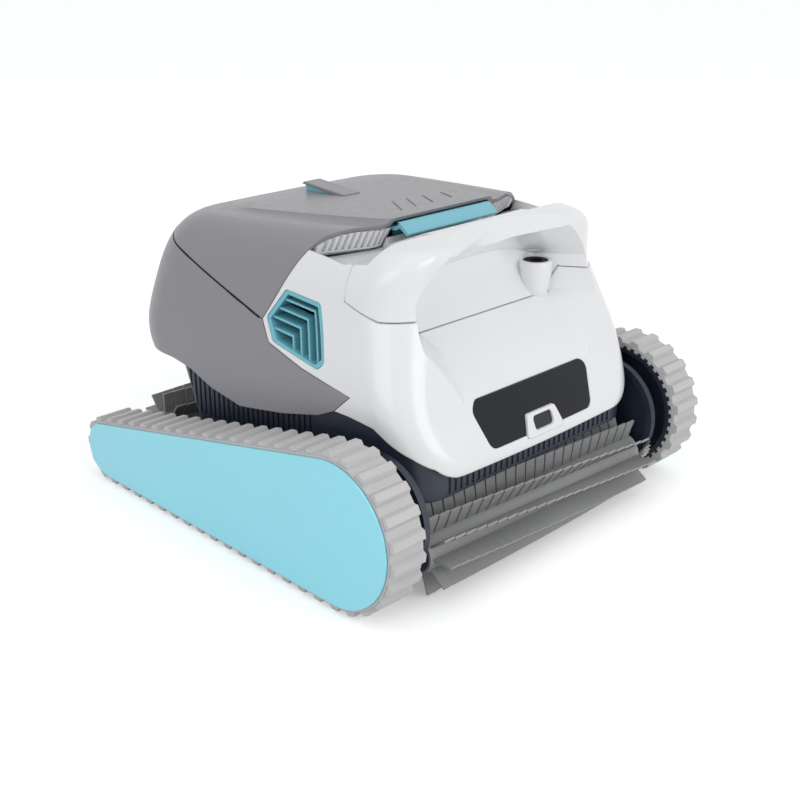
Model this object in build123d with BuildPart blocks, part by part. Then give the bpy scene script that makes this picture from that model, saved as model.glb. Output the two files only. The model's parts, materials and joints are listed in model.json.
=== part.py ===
"""Tracked pool cleaner: body shells, lid, brushes, tracks, drive, pump and filter, one solid per piece.

Millimetres. +Z up, the front faces -Y, the origin is on the floor under the middle of the part.
"""
import os
from collections import namedtuple
from math import acos, atan2, cos, degrees, hypot, pi, radians, sin, tan

from build123d import *

os.makedirs("parts", exist_ok=True)

# Overall size
WIDTH = 410.0
LENGTH = 424.0

# Fits
SEAM = 0.8             # open line between two shells
FIT = 0.4              # drop-in fit round an insert
RUNNING = 0.3          # between two bodies that turn past each other
BEARING = 0.05         # radial, in a bush

# Upper body: sections from the lower edge to the crown
Section = namedtuple("Section", "height tilt front rear front_half rear_half front_corner rear_corner drop")
SECTIONS = [
    Section(88, 0.0, -181, 140, 142, 153, 46, 45, 0.0),
    Section(112, 0.0, -185, 159, 147, 161, 46, 48, 0.0),
    Section(150, 1.0, -167, 182, 147, 166, 34, 50, 0.0),
    Section(182, 2.0, -156, 181, 140, 164, 39, 50, 0.0),
    Section(215, 3.0, -146, 174, 131, 158, 48, 50, 0.0),
    Section(240, 3.5, -136, 166, 126, 150, 54, 48, 0.3),
    Section(256, 3.8, -124, 156, 115, 142, 50, 44, 0.6),
    Section(266, 3.8, -107, 144, 96, 130, 44, 38, 0.85),
    Section(271, 3.8, -82, 114, 62, 98, 36, 34, 1.0),
]
COVER_SECTIONS = SECTIONS[:5] + [
    Section(240, 3.5, -145, 166, 126, 150, 36, 48, 0.3),
    Section(256, 3.8, -145, 156, 112, 138, 34, 46, 0.6),
    Section(262, 3.8, -131, 148, 102, 128, 34, 44, 0.85),
    Section(264, 3.8, -106, 130, 84, 106, 32, 40, 1.0),
]
CROWN = 4.0            # bow of each side of a section
WALL = 3.0

# Hand recess under the handle bar
RECESS_HALF = 114.0    # at the front face
RECESS_LOW_HALF = 66.0 # at RECESS_LOW_Z
RECESS_LOW_Z = 100.0
RECESS_BEND_Z = 190.0
RECESS_CORNER = 96.0   # at the near plane, less further in
RECESS_TOP = 272.0
RECESS_CEILING = 250.0 # at the back, rising towards the front
RECESS_RISE = 0.2326
RECESS_TAPER = 34.0    # degrees, closing inwards
RECESS_FACE = -150.0   # plane where the two sizes above hold
RECESS_BACK = -101.0
RECESS_FLOOR = [(-182, 124), (-167, 147), (-144, 171), (-118, 195), (-105, 214), (RECESS_BACK, 236)]

# Hollow middle of the handle bar: front edge in plan at HOLLOW_HEIGHT, leaning back as it rises
HOLLOW_EDGE = [(-76, -150), (-60, -142.5), (-30, -129), (0, -121.5), (30, -129), (60, -142.5), (76, -150)]
HOLLOW_HEIGHT = 261.0
HOLLOW_LEAN = 1.45

# Lid: front edge in plan at EDGE_HEIGHT, leaning forward as it rises, and the seam on the side
EDGE_HEIGHT = 235.0
EDGE_LEAN = 0.57
EDGE_SIDE = -27.0
EDGE_MIDDLE = -45.0
EDGE_SIDE_X = 118.0
EDGE_MIDDLE_X = 74.0
SEAM_LOW = (-4.5, 196.0)
SEAM_RISE = 0.325
SEAM_FAR = 260.0
LEDGE_SIDE = [(-104, 256), (-30, 245.3)]
LEDGE_MIDDLE = [(-107, 271), (-60, 252)]
LEDGE_SIDE_X = (60.0, 128.0)
LEDGE_WALL = (14.0, 30.0)  # run and rise of the wall in front of a ledge

# Lower edges in the side view
SKIRT_LOW = [(215, 138), (112, 135), (88, 131), (60, 119), (22, 112), (-33, 121), (-75, 131), (-94, 140)]
SKIRT_TIP = (-111, 156)
SKIRT_TOP = [(-80, 161.5), (-56, 166.5), (-16, 178.5)]
SHELL_LOW = [(-110, 139.5), (-135, 136), (-152, 126), (-167, 117), (-179, 107), (-185, 97), (-200, 91)]

# Handle cover seam
COVER_BACK = -91.0
COVER_STEP = [(-93, 227), (-122, 215.5)]
COVER_PANEL = [(82, 194.5), (103, 233)]

# Window, sensor and vents
WINDOW = [(-77, 146.5), (77, 146.5), (65, 107), (-65, 107)]
WINDOW_CORNER = 9.0
BEZEL = [(-18, 122.5), (18, 122.5), (24, 104), (-24, 104)]
BEZEL_CORNER = 3.0
BEZEL_PROUD = 1.4
LENS_WIDTH = 24.0
LENS_HEIGHT = 11.5
LENS_Z = 114.0
VENT = [(-9.5, 198.2), (-27.5, 224), (-66, 220), (-80.5, 176), (-74, 169.5), (-21, 180.6)]
VENT_CORNER = 4.5
VENT_RIM = 3.2
VENT_BACK = 132.0
LOUVRE = 1.8
LOUVRE_STEP = 8.5
LOUVRE_COUNT = 4

# Cable gland in the recess
GLAND_X = 72.0
GLAND_Y = -112.0
GLAND_TOP = 222.0
GLAND_LENGTH = 22.0
GLAND_RADIUS = 9.0
FLANGE_RADIUS = 10.8
GLAND_BORE = 5.5
BOSS_RADIUS = 12.5

# Lid hinge and latch
HINGE_Y = 157.0
HINGE_Z = 246.5
KNUCKLE_RADIUS = 5.0
PIN_RADIUS = 2.0
KNUCKLE = 20.0         # length of one knuckle
LID_KNUCKLES = [-1.0, 1.0]
SKIRT_KNUCKLES = [-2.0, 0.0, 2.0]
LID_WEB = [(0, 0), (1, 4.5), (-12, 8.5), (-13, 5), (-5, 1.5)]
SKIRT_WEB = [(0, 0), (3, -4), (1, -13), (-4, -13), (-5, -3)]
TAB_HALF = 56.0
TAB_POINTS = [(-50, 266.8), (-66, 267.9), (-70.3, 271.4), (-80.5, 263.6), (-78.8, 261.6), (-70.5, 267.0),
              (-66, 264.4), (-50, 263.6)]
TAB_LEG = [(-53.0, 266), (-53.0, 246), (-50, 246), (-50, 266)]
TAB_LEG_X = 40.0
TAB_LEG_WIDTH = 10.0
GUIDE_POINTS = [(-60.5, 267.9), (-53, 267.45), (-53, 272.3), (-60.5, 272.8)]
GUIDE_X = 20.0
GUIDE_WIDTH = 12.0
ROOF_POINTS = [(48, 266.5), (48, 268.6), (104, 273.0), (106, 270.8), (60, 266.8)]
INSERT_POINTS = [(60, 266.6), (104, 270.4), (101, 256), (60, 256)]
ROOF_HALF = 10.0
FLOAT_POINTS = [(-18, 268.6), (88, 261.6), (88, 249), (-18, 256)]
FLOAT_HALF = 58.0

# Outlet comb under the lid's front edge
COMB_NEAR = 64.5
COMB_FAR = 121.0
COMB_PITCH = 5.2
COMB_SLOT = 3.0
COMB_BASE_Z = 251.0
COMB_RAIL = 1.6

# Track
FRONT_RADIUS = 67.5    # over the lugs
REAR_RADIUS = 32.5
LUG_HEIGHT = 4.0
LUG_WIDTH = 11.5
LUG_COUNT = 49
BELT = 3.2
BELT_WIDTH = 35.0
TOOTH_HEIGHT = 2.5
TOOTH_WIDTH = 4.0
TOOTH_STRIP = 8.0
PULLEY_TEETH = 44
PANEL = 2.0
PANEL_GAP = 0.5
PANEL_INSET = 6.3

# Chassis
CHASSIS_HALF = 148.0
CHASSIS_WALL = 3.0
FLOOR_Z = 14.0
DECK_Z = 148.0
DECK = 3.0
CHASSIS_FRONT = -176.0
CHASSIS_KNEE_Z = 100.0
FRONT_HIGH_Y = -160.0
FRONT_CORNER = 40.0
REAR_CORNER = 18.0
REAR_LOW_Y = 88.0
REAR_HIGH_Y = 143.0
FLOOR_FRONT_Y = -124.0
ARCH_GAP = 3.5         # between the front brush and its arch
NECK_Z = 88.5          # above it the walls keep inside the shells
RIB_PITCH = 7.0
RIB_WIDTH = 3.0
RIB_DEPTH = 1.2

# Side frames and wheels
FRAME = 6.0
FRAME_INSET = 15.5
AXLE_RADIUS = 9.0
REAR_AXLE_RADIUS = 6.0
ROLLER_AXLE_RADIUS = 3.5
BUSH_WALL = 2.5
HUB_RADIUS = 18.0
RIM = 4.0
WEB = 5.0
ROLLER_RADIUS = 14.0
ROLLER_Y = 20.0
DISH_RADIUS = 45.0
DISH = 1.5
SCREW_SPOTS = [(-72, 60), (-40, 40), (0, 50), (78, 42)]
SCREW_RADIUS = 2.0
SCREW_HEAD = 4.0

# Gears
MODULE = 1.16
DRIVE_TEETH = 48
BRUSH_TEETH = 24
MOTOR_TEETH = 16
GEAR_WIDTH = 8.0
BACKLASH = 0.45
BRUSH_ANGLE = 227.0    # from the drive axle to the front brush
MOTOR_ANGLE = -15.0

# Brushes
BRUSH_RADIUS = 36.0
BRUSH_CORE = 15.0
BRUSH_SLEEVE = 2.2
BRUSH_HALF = 141.0
JOURNAL_RADIUS = 5.0
FLAP = 1.8
FLAP_ROWS = 10
FLAP_WIDTH = 11.4
FLAP_PITCH = 12.0
FLAP_COUNT = 23
FLAP_TWIST = 1.6       # degrees from one flap to the next
REAR_BRUSH_Y = 174.0

# Motor, pump and filter
MOTOR_HALF = 62.0
MOTOR_FRONT = -119.0
MOTOR_REAR = -46.0
MOTOR_SEAL_Z = 92.0
MOTOR_SEAL = 1.5
MOTOR_TOP = 108.0
MOTOR_WALL = 3.0
MOTOR_CORNER = 8.0
MOTOR_POST = 5.0
MOTOR_POST_INSET = 8.0
SHAFT_RADIUS = 4.0
PUMP_Y = -85.0
IMPELLER_RADIUS = 34.0
IMPELLER_Z = 120.0
IMPELLER_HEIGHT = 16.0
IMPELLER_HUB = 8.0
BLADES = 5
BLADE = 2.2
BLADE_PITCH = 40.0
DUCT_WALL = 2.5
DUCT_GAP = 1.5
DUCT_TOP = 168.0
BASKET_HALF = 116.0
BASKET_FRONT = -34.0
BASKET_REAR = 84.0
BASKET_LOW = 50.0
BASKET_TOP = 196.0
BASKET_WALL = 2.4
BASKET_RAIL = 12.0
BASKET_BAIL = 16.0
BASKET_POST = 12.0
BASKET_POST_X = 100.0
BASKET_POST_Y = (-22.0, 72.0)
PANEL_SHEET = 0.8
DOOR_X = 58.0
DOOR_WIDTH = 76.0
DOOR_DEPTH = 26.0
DOOR_Y = 26.0
DOOR_HINGE_Y = 48.0
DOOR_HINGE_Z = 20.0
DOOR_BARREL = 2.6
DOOR_PIN = 1.2
DOOR_PLATE = 2.0
FLAP_CLEAR = 0.4
CONTROL_FRONT = -147.0
CONTROL_HALF = 58.0
CONTROL_LOW = 74.0
CONTROL_TOP = 104.0

# Values worked out from the driving sizes
FRONT_Y = -LENGTH / 2 + FRONT_RADIUS
REAR_Y = LENGTH / 2 - REAR_RADIUS
BELT_OUT = WIDTH / 2 - PANEL - PANEL_GAP
BELT_IN = BELT_OUT - BELT_WIDTH
FRAME_OUT = CHASSIS_HALF + FRAME
FRONT_INNER = FRONT_RADIUS - LUG_HEIGHT - BELT
REAR_INNER = REAR_RADIUS - LUG_HEIGHT - BELT
BRUSH_REACH = MODULE * (DRIVE_TEETH + BRUSH_TEETH) / 2
MOTOR_REACH = MODULE * (DRIVE_TEETH + MOTOR_TEETH) / 2
BRUSH_Y = FRONT_Y + BRUSH_REACH * cos(radians(BRUSH_ANGLE))
BRUSH_Z = FRONT_RADIUS + BRUSH_REACH * sin(radians(BRUSH_ANGLE))
MOTOR_Y = FRONT_Y + MOTOR_REACH * cos(radians(MOTOR_ANGLE))
MOTOR_Z = FRONT_RADIUS + MOTOR_REACH * sin(radians(MOTOR_ANGLE))
REAR_BRUSH_Z = BRUSH_RADIUS + 1.0
GEAR_IN = FRAME_OUT + 2.0
GEAR_OUT = GEAR_IN + GEAR_WIDTH
GLAND_LOW = GLAND_TOP - GLAND_LENGTH
CHASSIS_TOP = DECK_Z + DECK
ARCH_RADIUS = BRUSH_RADIUS + ARCH_GAP
FLOOR_TOP = FLOOR_Z + CHASSIS_WALL
DOOR_REAR = DOOR_HINGE_Y - 4.5
DOOR_START = DOOR_Y - DOOR_DEPTH / 2 - 4
AXLE_END = WIDTH / 2 - PANEL
SEAT_RADIUS = JOURNAL_RADIUS + BUSH_WALL
SEAT_DEPTH = FRAME - 1.5
ROLLER_Z = LUG_HEIGHT + BELT + RUNNING + ROLLER_RADIUS
STRIP_OUT = BELT_IN + TOOTH_STRIP


# Helpers

def strip(points, near, far, corner=0.0):
    """Prism along X between two planes with the given side view, as (y, z) points."""
    with BuildPart() as prism:
        with BuildSketch(Plane.YZ.offset(near)):
            with BuildLine():
                FilletPolyline(*points, radius=corner, close=True)
            make_face()
        extrude(amount=far - near)
    return prism.part


def side_prism(points, half, corner=0.0):
    """Prism across the whole part with the given side view."""
    return strip(points, -half, half, corner)


def front_prism(points, near, far, corner=0.0):
    """Prism along Y between two planes with the given front view, as (x, z) points."""
    with BuildPart() as prism:
        with BuildSketch(Plane.XZ.offset(-far)):
            with BuildLine():
                FilletPolyline(*points, radius=corner, close=True)
            make_face()
        extrude(amount=far - near)
    return prism.part


def grown(points, amount):
    """Corner points moved away from their centre by about the given amount."""
    cx = sum(p[0] for p in points) / len(points)
    cy = sum(p[1] for p in points) / len(points)
    far = []
    for px, py in points:
        reach = hypot(px - cx, py - cy)
        far.append((px + amount * (px - cx) / reach * 1.3, py + amount * (py - cy) / reach * 1.3))
    return far


def hand_recess(inset):
    """Space under the handle bar, grown by the shell's inset."""
    slope = tan(radians(RECESS_TAPER))
    near = RECESS_FACE - 80.0
    half = RECESS_HALF + 80.0 * slope + inset
    low = RECESS_LOW_HALF + 80.0 * slope + inset
    top = RECESS_TOP + 80.0 * slope + inset
    floor = [(y + 0.75 * inset, z - 0.75 * inset) for y, z in RECESS_FLOOR]
    back = floor[-1][0]
    ceiling = RECESS_CEILING + inset
    with BuildPart() as recess:
        with BuildSketch(Plane.XZ.offset(-near)) as mouth:
            with BuildLine():
                FilletPolyline((-low, RECESS_LOW_Z), (-half, RECESS_BEND_Z), (-half, top), (half, top),
                               (half, RECESS_BEND_Z), (low, RECESS_LOW_Z),
                               radius=[0, 30, RECESS_CORNER, RECESS_CORNER, 30, 0], close=True)
            make_face()
        extrude(amount=-(back + 20 - near), taper=RECESS_TAPER)
        with BuildSketch(Plane.YZ):
            with BuildLine():
                Spline(*floor)
                Polyline(floor[-1], (back, ceiling), (near - 1, ceiling + RECESS_RISE * (back - near)),
                         (near - 1, floor[0][1]), floor[0])
            make_face()
        extrude(amount=2 * half, both=True, mode=Mode.INTERSECT)
    return recess.part


def ledge(points, near_x, far_x, inset):
    """Space above a ledge that falls towards the lid, on both sides of the part."""
    front, rear = points
    low = inset * 1.05
    with BuildPart() as space:
        with BuildSketch(Plane.YZ.offset(near_x - inset)):
            with BuildLine():
                Polyline((front[0] - LEDGE_WALL[0], front[1] + LEDGE_WALL[1] - low), (front[0], front[1] - low),
                         (rear[0] + inset, rear[1] - low), (rear[0] + inset + 30, 400),
                         (front[0] - LEDGE_WALL[0], 400), close=True)
            make_face()
        extrude(amount=far_x - near_x + 2 * inset)
        mirror(about=Plane.YZ)
    return space.part


def bar_hollow(inset):
    """Space in front of the handle bar's hollow middle, grown by the inset."""
    half = HOLLOW_EDGE[-1][0] + inset
    edge = [(x * half / HOLLOW_EDGE[-1][0], y + inset) for x, y in HOLLOW_EDGE]
    with BuildPart() as space:
        with BuildSketch(Plane.XY.offset(HOLLOW_HEIGHT - inset)) as plan:
            with BuildLine():
                Spline(*edge)
                Polyline(edge[-1], (half, -260), (-half, -260), edge[0])
            make_face()
        extrude(amount=60, dir=(0, HOLLOW_LEAN, 1))
        extrude(plan.sketch, amount=-40)
    return space.part


def body(inset, sections=SECTIONS):
    """The upper body as one solid, its whole surface moved inwards by the inset."""
    with BuildPart() as solid:
        for s in sections:
            lean = radians(s.tilt)
            middle_point = (0, 0, s.height - s.drop * inset)
            plane = Plane(origin=middle_point, x_dir=(1, 0, 0), z_dir=(0, sin(lean), cos(lean)))
            front = s.front + inset
            rear = s.rear - inset
            narrow = s.front_half - inset
            wide = s.rear_half - inset
            middle = (narrow + wide) / 2 + CROWN
            with BuildSketch(plane) as outline:
                with BuildLine():
                    ThreePointArc((-narrow, front + CROWN), (0, front), (narrow, front + CROWN))
                    ThreePointArc((narrow, front + CROWN), (middle, (front + rear) / 2), (wide, rear - CROWN))
                    ThreePointArc((wide, rear - CROWN), (0, rear), (-wide, rear - CROWN))
                    ThreePointArc((-wide, rear - CROWN), (-middle, (front + rear) / 2), (-narrow, front + CROWN))
                make_face()
                fillet(outline.vertices().sort_by(Axis.Y)[:2], s.front_corner - inset)
                fillet(outline.vertices().sort_by(Axis.Y)[-2:], s.rear_corner - inset)
        loft()
    return solid.part


def edge_prism(shift):
    """All that lies behind the lid's front edge, the edge moved back by the shift."""
    side = EDGE_SIDE + shift
    middle = EDGE_MIDDLE + shift
    with BuildPart() as prism:
        with BuildSketch(Plane.XY.offset(EDGE_HEIGHT)):
            with BuildLine():
                FilletPolyline((-220, side), (-EDGE_SIDE_X, side), (-EDGE_MIDDLE_X, middle),
                               (EDGE_MIDDLE_X, middle), (EDGE_SIDE_X, side), (220, side), (220, 300), (-220, 300),
                               radius=[0, 20, 20, 20, 20, 0, 0, 0], close=True)
            make_face()
        extrude(amount=130, dir=(0, -EDGE_LEAN, 1), both=True)
    return prism.part


def handle_region(clear):
    """Where the handle cover lies, grown by the clearance."""
    back = COVER_BACK + clear
    step = [(y + clear * 0.5, z - clear) for y, z in COVER_STEP]
    panel = [(x + clear, z - clear) for x, z in COVER_PANEL]
    with BuildPart() as region:
        add(side_prism([(back, 400), (back, step[0][1]), step[1], (-260, step[1][1]), (-260, 400)], 200))
        add(front_prism([(-panel[0][0], panel[0][1]), (panel[0][0], panel[0][1]), (panel[1][0], panel[1][1]),
                         (-panel[1][0], panel[1][1])], -260, back))
    return region.part


def track_loop(inset):
    """Corner points of the track's side view: where the straight runs meet the two round ends."""
    front = FRONT_RADIUS - inset
    rear = REAR_RADIUS - inset
    wheelbase = REAR_Y - FRONT_Y
    rise = REAR_RADIUS - FRONT_RADIUS
    top = atan2(rise, wheelbase) + acos((FRONT_RADIUS - REAR_RADIUS) / hypot(wheelbase, rise))
    return {
        "top_front": (FRONT_Y + front * cos(top), FRONT_RADIUS + front * sin(top)),
        "top_rear": (REAR_Y + rear * cos(top), REAR_RADIUS + rear * sin(top)),
        "low_front": (FRONT_Y, inset),
        "low_rear": (REAR_Y, inset),
        "nose": (FRONT_Y - front, FRONT_RADIUS),
        "tail": (REAR_Y + rear, REAR_RADIUS),
    }


def track_wire(inset):
    """The track's side view as a closed line that starts at its nose, in plane coordinates."""
    loop = track_loop(inset)
    front_angle = degrees(atan2(loop["top_front"][1] - FRONT_RADIUS, loop["top_front"][0] - FRONT_Y))
    with BuildLine(Plane.XY) as line:
        CenterArc((FRONT_Y, FRONT_RADIUS), FRONT_RADIUS - inset, 180, 90)
        Line(loop["low_front"], loop["low_rear"])
        CenterArc((REAR_Y, REAR_RADIUS), REAR_RADIUS - inset, -90, 90 + front_angle)
        Line(loop["top_rear"], loop["top_front"])
        CenterArc((FRONT_Y, FRONT_RADIUS), FRONT_RADIUS - inset, front_angle, 180 - front_angle)
    return line.wire()


def spots(inset, count, depth):
    """Evenly spaced places along the track, each turned to lie along it and sunk by the depth."""
    wire = track_wire(inset)
    places = []
    for i in range(count):
        at = wire.position_at(i / count)
        along = wire.tangent_at(i / count)
        turn = degrees(atan2(along.Y, along.X)) + 180
        places.append(Location((at.X - along.Y * depth, at.Y + along.X * depth, 0), (0, 0, turn)))
    return places


def gear_outline(teeth, phase):
    """Involute gear outline as points, with one tooth's middle at the phase angle in degrees."""
    pitch = MODULE * teeth / 2
    base = pitch * cos(radians(20))
    tip = pitch + 0.85 * MODULE
    root = pitch - 1.2 * MODULE
    half = pi / (2 * teeth) - BACKLASH / (2 * pitch) + tan(radians(20)) - radians(20)
    flank = []
    for radius in (root, max(base, root + 0.05), (pitch + base) / 2 + 0.1, pitch + 0.3 * MODULE, tip):
        pressure = acos(min(1.0, base / max(radius, base)))
        flank.append((radius, half - tan(pressure) + pressure))
    points = []
    for i in range(teeth):
        middle = radians(phase) + 2 * pi * i / teeth
        for radius, angle in flank:
            points.append((radius * cos(middle - angle), radius * sin(middle - angle)))
        for radius, angle in reversed(flank):
            points.append((radius * cos(middle + angle), radius * sin(middle + angle)))
    return points


def tube(axis_y, axis_z, outer, inner, near_x, far_x):
    """Round sleeve or bar along X."""
    with BuildPart() as sleeve:
        with BuildSketch(Plane.YZ.offset(near_x)):
            with Locations((axis_y, axis_z)):
                Circle(outer)
                if inner:
                    Circle(inner, mode=Mode.SUBTRACT)
        extrude(amount=far_x - near_x)
    return sleeve.part


# Upper body shells

outer = body(0.0)
inner = body(WALL)
flush = body(0.5)
neck = body(WALL + RUNNING)
recess_cut = hand_recess(0.0)
recess_core = hand_recess(WALL)
recess_clear = hand_recess(WALL + RUNNING)
ledges_cut = [ledge(LEDGE_SIDE, *LEDGE_SIDE_X, 0.0), ledge(LEDGE_MIDDLE, -0.5, LEDGE_SIDE_X[0] + 0.5, 0.0)]
ledges_core = [ledge(LEDGE_SIDE, *LEDGE_SIDE_X, WALL), ledge(LEDGE_MIDDLE, -0.5, LEDGE_SIDE_X[0] + 0.5, WALL)]

shell_side = [(SEAM_LOW[0] - SEAM, 400), (SEAM_LOW[0] - SEAM, SEAM_LOW[1])]
shell_side += [(y - SEAM * 0.5, z + SEAM) for y, z in reversed(SKIRT_TOP)]
shell_side += [(SKIRT_TIP[0] - SEAM, SKIRT_TIP[1]), (SKIRT_LOW[-1][0] - SEAM, SKIRT_LOW[-1][1])]
shell_side += SHELL_LOW + [(-260, 90), (-260, 400)]

window_cut = front_prism(grown(WINDOW, FIT), -260, -120, WINDOW_CORNER + FIT)
bezel_cut = front_prism(grown(BEZEL, FIT), -260, -120, BEZEL_CORNER + FIT)
vent_cut = strip(grown(VENT, FIT), 80, 220, VENT_CORNER + FIT)

with BuildPart() as white_core:
    add(inner)
    add(recess_core, mode=Mode.SUBTRACT)
    for space in ledges_core:
        add(space, mode=Mode.SUBTRACT)

with BuildPart() as white_body:
    add(outer)
    add(recess_cut, mode=Mode.SUBTRACT)
    for space in ledges_cut:
        add(space, mode=Mode.SUBTRACT)
    add(white_core.part, mode=Mode.SUBTRACT)
    add(side_prism(shell_side, 200), mode=Mode.INTERSECT)
    add(edge_prism(-SEAM), mode=Mode.SUBTRACT)

# Cable gland and its boss in the recess


def upright(x, y, radius, low, high):
    """Round bar standing along Z."""
    with BuildPart() as bar:
        with BuildSketch(Plane.XY.offset(low)):
            with Locations((x, y)):
                Circle(radius)
        extrude(amount=high - low)
    return bar.part


gland_hole = upright(GLAND_X, GLAND_Y, GLAND_RADIUS + FIT / 2, GLAND_LOW - 30, GLAND_TOP + 10)
flange_room = upright(GLAND_X, GLAND_Y, FLANGE_RADIUS + FIT, GLAND_TOP, GLAND_TOP + 6)

with BuildPart() as cover_core:
    add(body(WALL, COVER_SECTIONS))
    add([recess_core, bar_hollow(WALL)] + ledges_core, mode=Mode.SUBTRACT)

with BuildPart() as handle_cover:
    add(body(0.0, COVER_SECTIONS))
    add(handle_region(0.0), mode=Mode.INTERSECT)
    add([recess_cut, bar_hollow(0.0)] + ledges_cut, mode=Mode.SUBTRACT)
    add(cover_core.part, mode=Mode.SUBTRACT)
    add(upright(GLAND_X, GLAND_Y, BOSS_RADIUS, GLAND_LOW, GLAND_TOP))
    add([gland_hole, flange_room], mode=Mode.SUBTRACT)

with BuildPart() as cable_gland:
    add(upright(GLAND_X, GLAND_Y, GLAND_RADIUS, GLAND_LOW, GLAND_TOP + 1.7))
    add(upright(GLAND_X, GLAND_Y, FLANGE_RADIUS, GLAND_TOP + 0.2, GLAND_TOP + 1.7))
    add(upright(GLAND_X, GLAND_Y, GLAND_BORE, GLAND_LOW - 1, GLAND_TOP + 5), mode=Mode.SUBTRACT)

with BuildPart() as front_shell:
    add(white_body.part)
    add(handle_region(SEAM), mode=Mode.SUBTRACT)
    add([window_cut, bezel_cut, vent_cut, vent_cut.mirror(Plane.YZ), gland_hole], mode=Mode.SUBTRACT)

# Window, bezel and lens

lens_left = -LENS_WIDTH / 2
lens_low = LENS_Z - LENS_HEIGHT / 2
lens_frame = [(lens_left, LENS_Z + LENS_HEIGHT / 2), (-lens_left, LENS_Z + LENS_HEIGHT / 2),
              (-lens_left, lens_low), (lens_left, lens_low)]
bezel_back = body(WALL + 2.0)

with BuildPart() as front_window:
    add(front_prism(WINDOW, -260, -120, WINDOW_CORNER))
    add(flush, mode=Mode.INTERSECT)
    add(inner, mode=Mode.SUBTRACT)
    add(bezel_cut, mode=Mode.SUBTRACT)

with BuildPart() as sensor_bezel:
    add(front_prism(BEZEL, -260, -120, BEZEL_CORNER))
    add(body(-BEZEL_PROUD), mode=Mode.INTERSECT)
    add(bezel_back, mode=Mode.SUBTRACT)
    add(front_prism(grown(lens_frame, FIT / 2), -260, -120, 3.5), mode=Mode.SUBTRACT)

with BuildPart() as sensor_lens:
    add(front_prism(lens_frame, -260, -120, 3.2))
    add(flush, mode=Mode.INTERSECT)
    add(bezel_back, mode=Mode.SUBTRACT)

# Side vents: a deep rim with bent louvres


def louvre_outline(number):
    """Six points of one bent louvre, parallel to the vent's top and front edges."""
    start, corner, end = (Vector(*p) for p in VENT[1:4])
    back = (start - corner).normalized()
    down = (end - corner).normalized()
    bisector = (back + down).normalized()
    depth = abs(back.cross(bisector).Z)
    near = corner + bisector * ((number * LOUVRE_STEP - LOUVRE / 2) / depth)
    far = corner + bisector * ((number * LOUVRE_STEP + LOUVRE / 2) / depth)
    arm = 90.0
    points = [near + back * arm, near, near + down * arm, far + down * arm, far, far + back * arm]
    return [(p.X, p.Y) for p in points]


with BuildPart() as vent_rim:
    add(strip(VENT, VENT_BACK, 220, VENT_CORNER))
    add(strip(grown(VENT, -VENT_RIM), VENT_BACK - 1, 230, 2.0), mode=Mode.SUBTRACT)

with BuildPart() as vent_blades:
    for number in range(1, LOUVRE_COUNT + 1):
        add(strip(louvre_outline(number), VENT_BACK + 2, 220))
    add(strip(grown(VENT, -VENT_RIM / 2), VENT_BACK - 1, 230, 2.0), mode=Mode.INTERSECT)
    add(body(2.0), mode=Mode.INTERSECT)

with BuildPart() as right_vent:
    add(vent_rim.part)
    add(flush, mode=Mode.INTERSECT)
    add(vent_blades.part)

with BuildPart() as left_vent:
    mirror(right_vent.part, about=Plane.YZ)

# Rear skirt and lid with their hinge

seam_high = SEAM_LOW[1] + SEAM_RISE * (SEAM_FAR - SEAM_LOW[0])
skirt_side = [(SEAM_LOW[0], SEAM_LOW[1] - SEAM), (SEAM_FAR, seam_high - SEAM), (SEAM_FAR, SKIRT_LOW[0][1])]
skirt_side += SKIRT_LOW + [SKIRT_TIP] + SKIRT_TOP
lid_side = [(SEAM_LOW[0] - 200, SEAM_LOW[1] - SEAM_RISE * 200), (SEAM_FAR, seam_high), (SEAM_FAR, 400),
            (SEAM_LOW[0] - 200, 400)]


def knuckles(places, radius, length):
    """Round hinge knuckles on the hinge axis, one at each place counted in knuckle lengths."""
    with BuildPart() as group:
        for place in places:
            middle = place * (KNUCKLE + SEAM)
            add(tube(HINGE_Y, HINGE_Z, radius, 0, middle - length / 2, middle + length / 2))
    return group.part


def hinge_webs(places, points):
    """Webs that tie the knuckles to their shell, points counted from the hinge axis."""
    at_hinge = [(HINGE_Y + y, HINGE_Z + z) for y, z in points]
    with BuildPart() as group:
        for place in places:
            middle = place * (KNUCKLE + SEAM)
            add(strip(at_hinge, middle - KNUCKLE / 2, middle + KNUCKLE / 2))
    return group.part


clear_length = KNUCKLE + 2 * SEAM
pin_hole = tube(HINGE_Y, HINGE_Z, PIN_RADIUS + BEARING, 0, -80, 80)

guides = [strip(GUIDE_POINTS, x - GUIDE_WIDTH / 2, x + GUIDE_WIDTH / 2) for x in (-GUIDE_X, GUIDE_X)]

with BuildPart() as skin:
    add(outer)
    add(inner, mode=Mode.SUBTRACT)

with BuildPart() as lid_space:
    add(edge_prism(0.0))
    add(side_prism(lid_side, 200), mode=Mode.INTERSECT)

with BuildPart() as rear_skirt:
    add(side_prism(skirt_side, 200))
    add(skin.part, mode=Mode.INTERSECT)
    add([hinge_webs(SKIRT_KNUCKLES, SKIRT_WEB), knuckles(SKIRT_KNUCKLES, KNUCKLE_RADIUS, KNUCKLE)])
    add([knuckles(LID_KNUCKLES, KNUCKLE_RADIUS + 0.6, clear_length), pin_hole], mode=Mode.SUBTRACT)

with BuildPart() as filter_lid:
    add(lid_space.part)
    add(skin.part, mode=Mode.INTERSECT)
    add([hinge_webs(LID_KNUCKLES, LID_WEB), knuckles(LID_KNUCKLES, KNUCKLE_RADIUS, KNUCKLE),
         side_prism(ROOF_POINTS, ROOF_HALF)] + guides)
    add([knuckles(SKIRT_KNUCKLES, KNUCKLE_RADIUS + 0.6, clear_length), pin_hole], mode=Mode.SUBTRACT)

with BuildPart() as lid_insert:
    add(side_prism(INSERT_POINTS, ROOF_HALF - 2))
    add(outer, mode=Mode.SUBTRACT)

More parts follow.
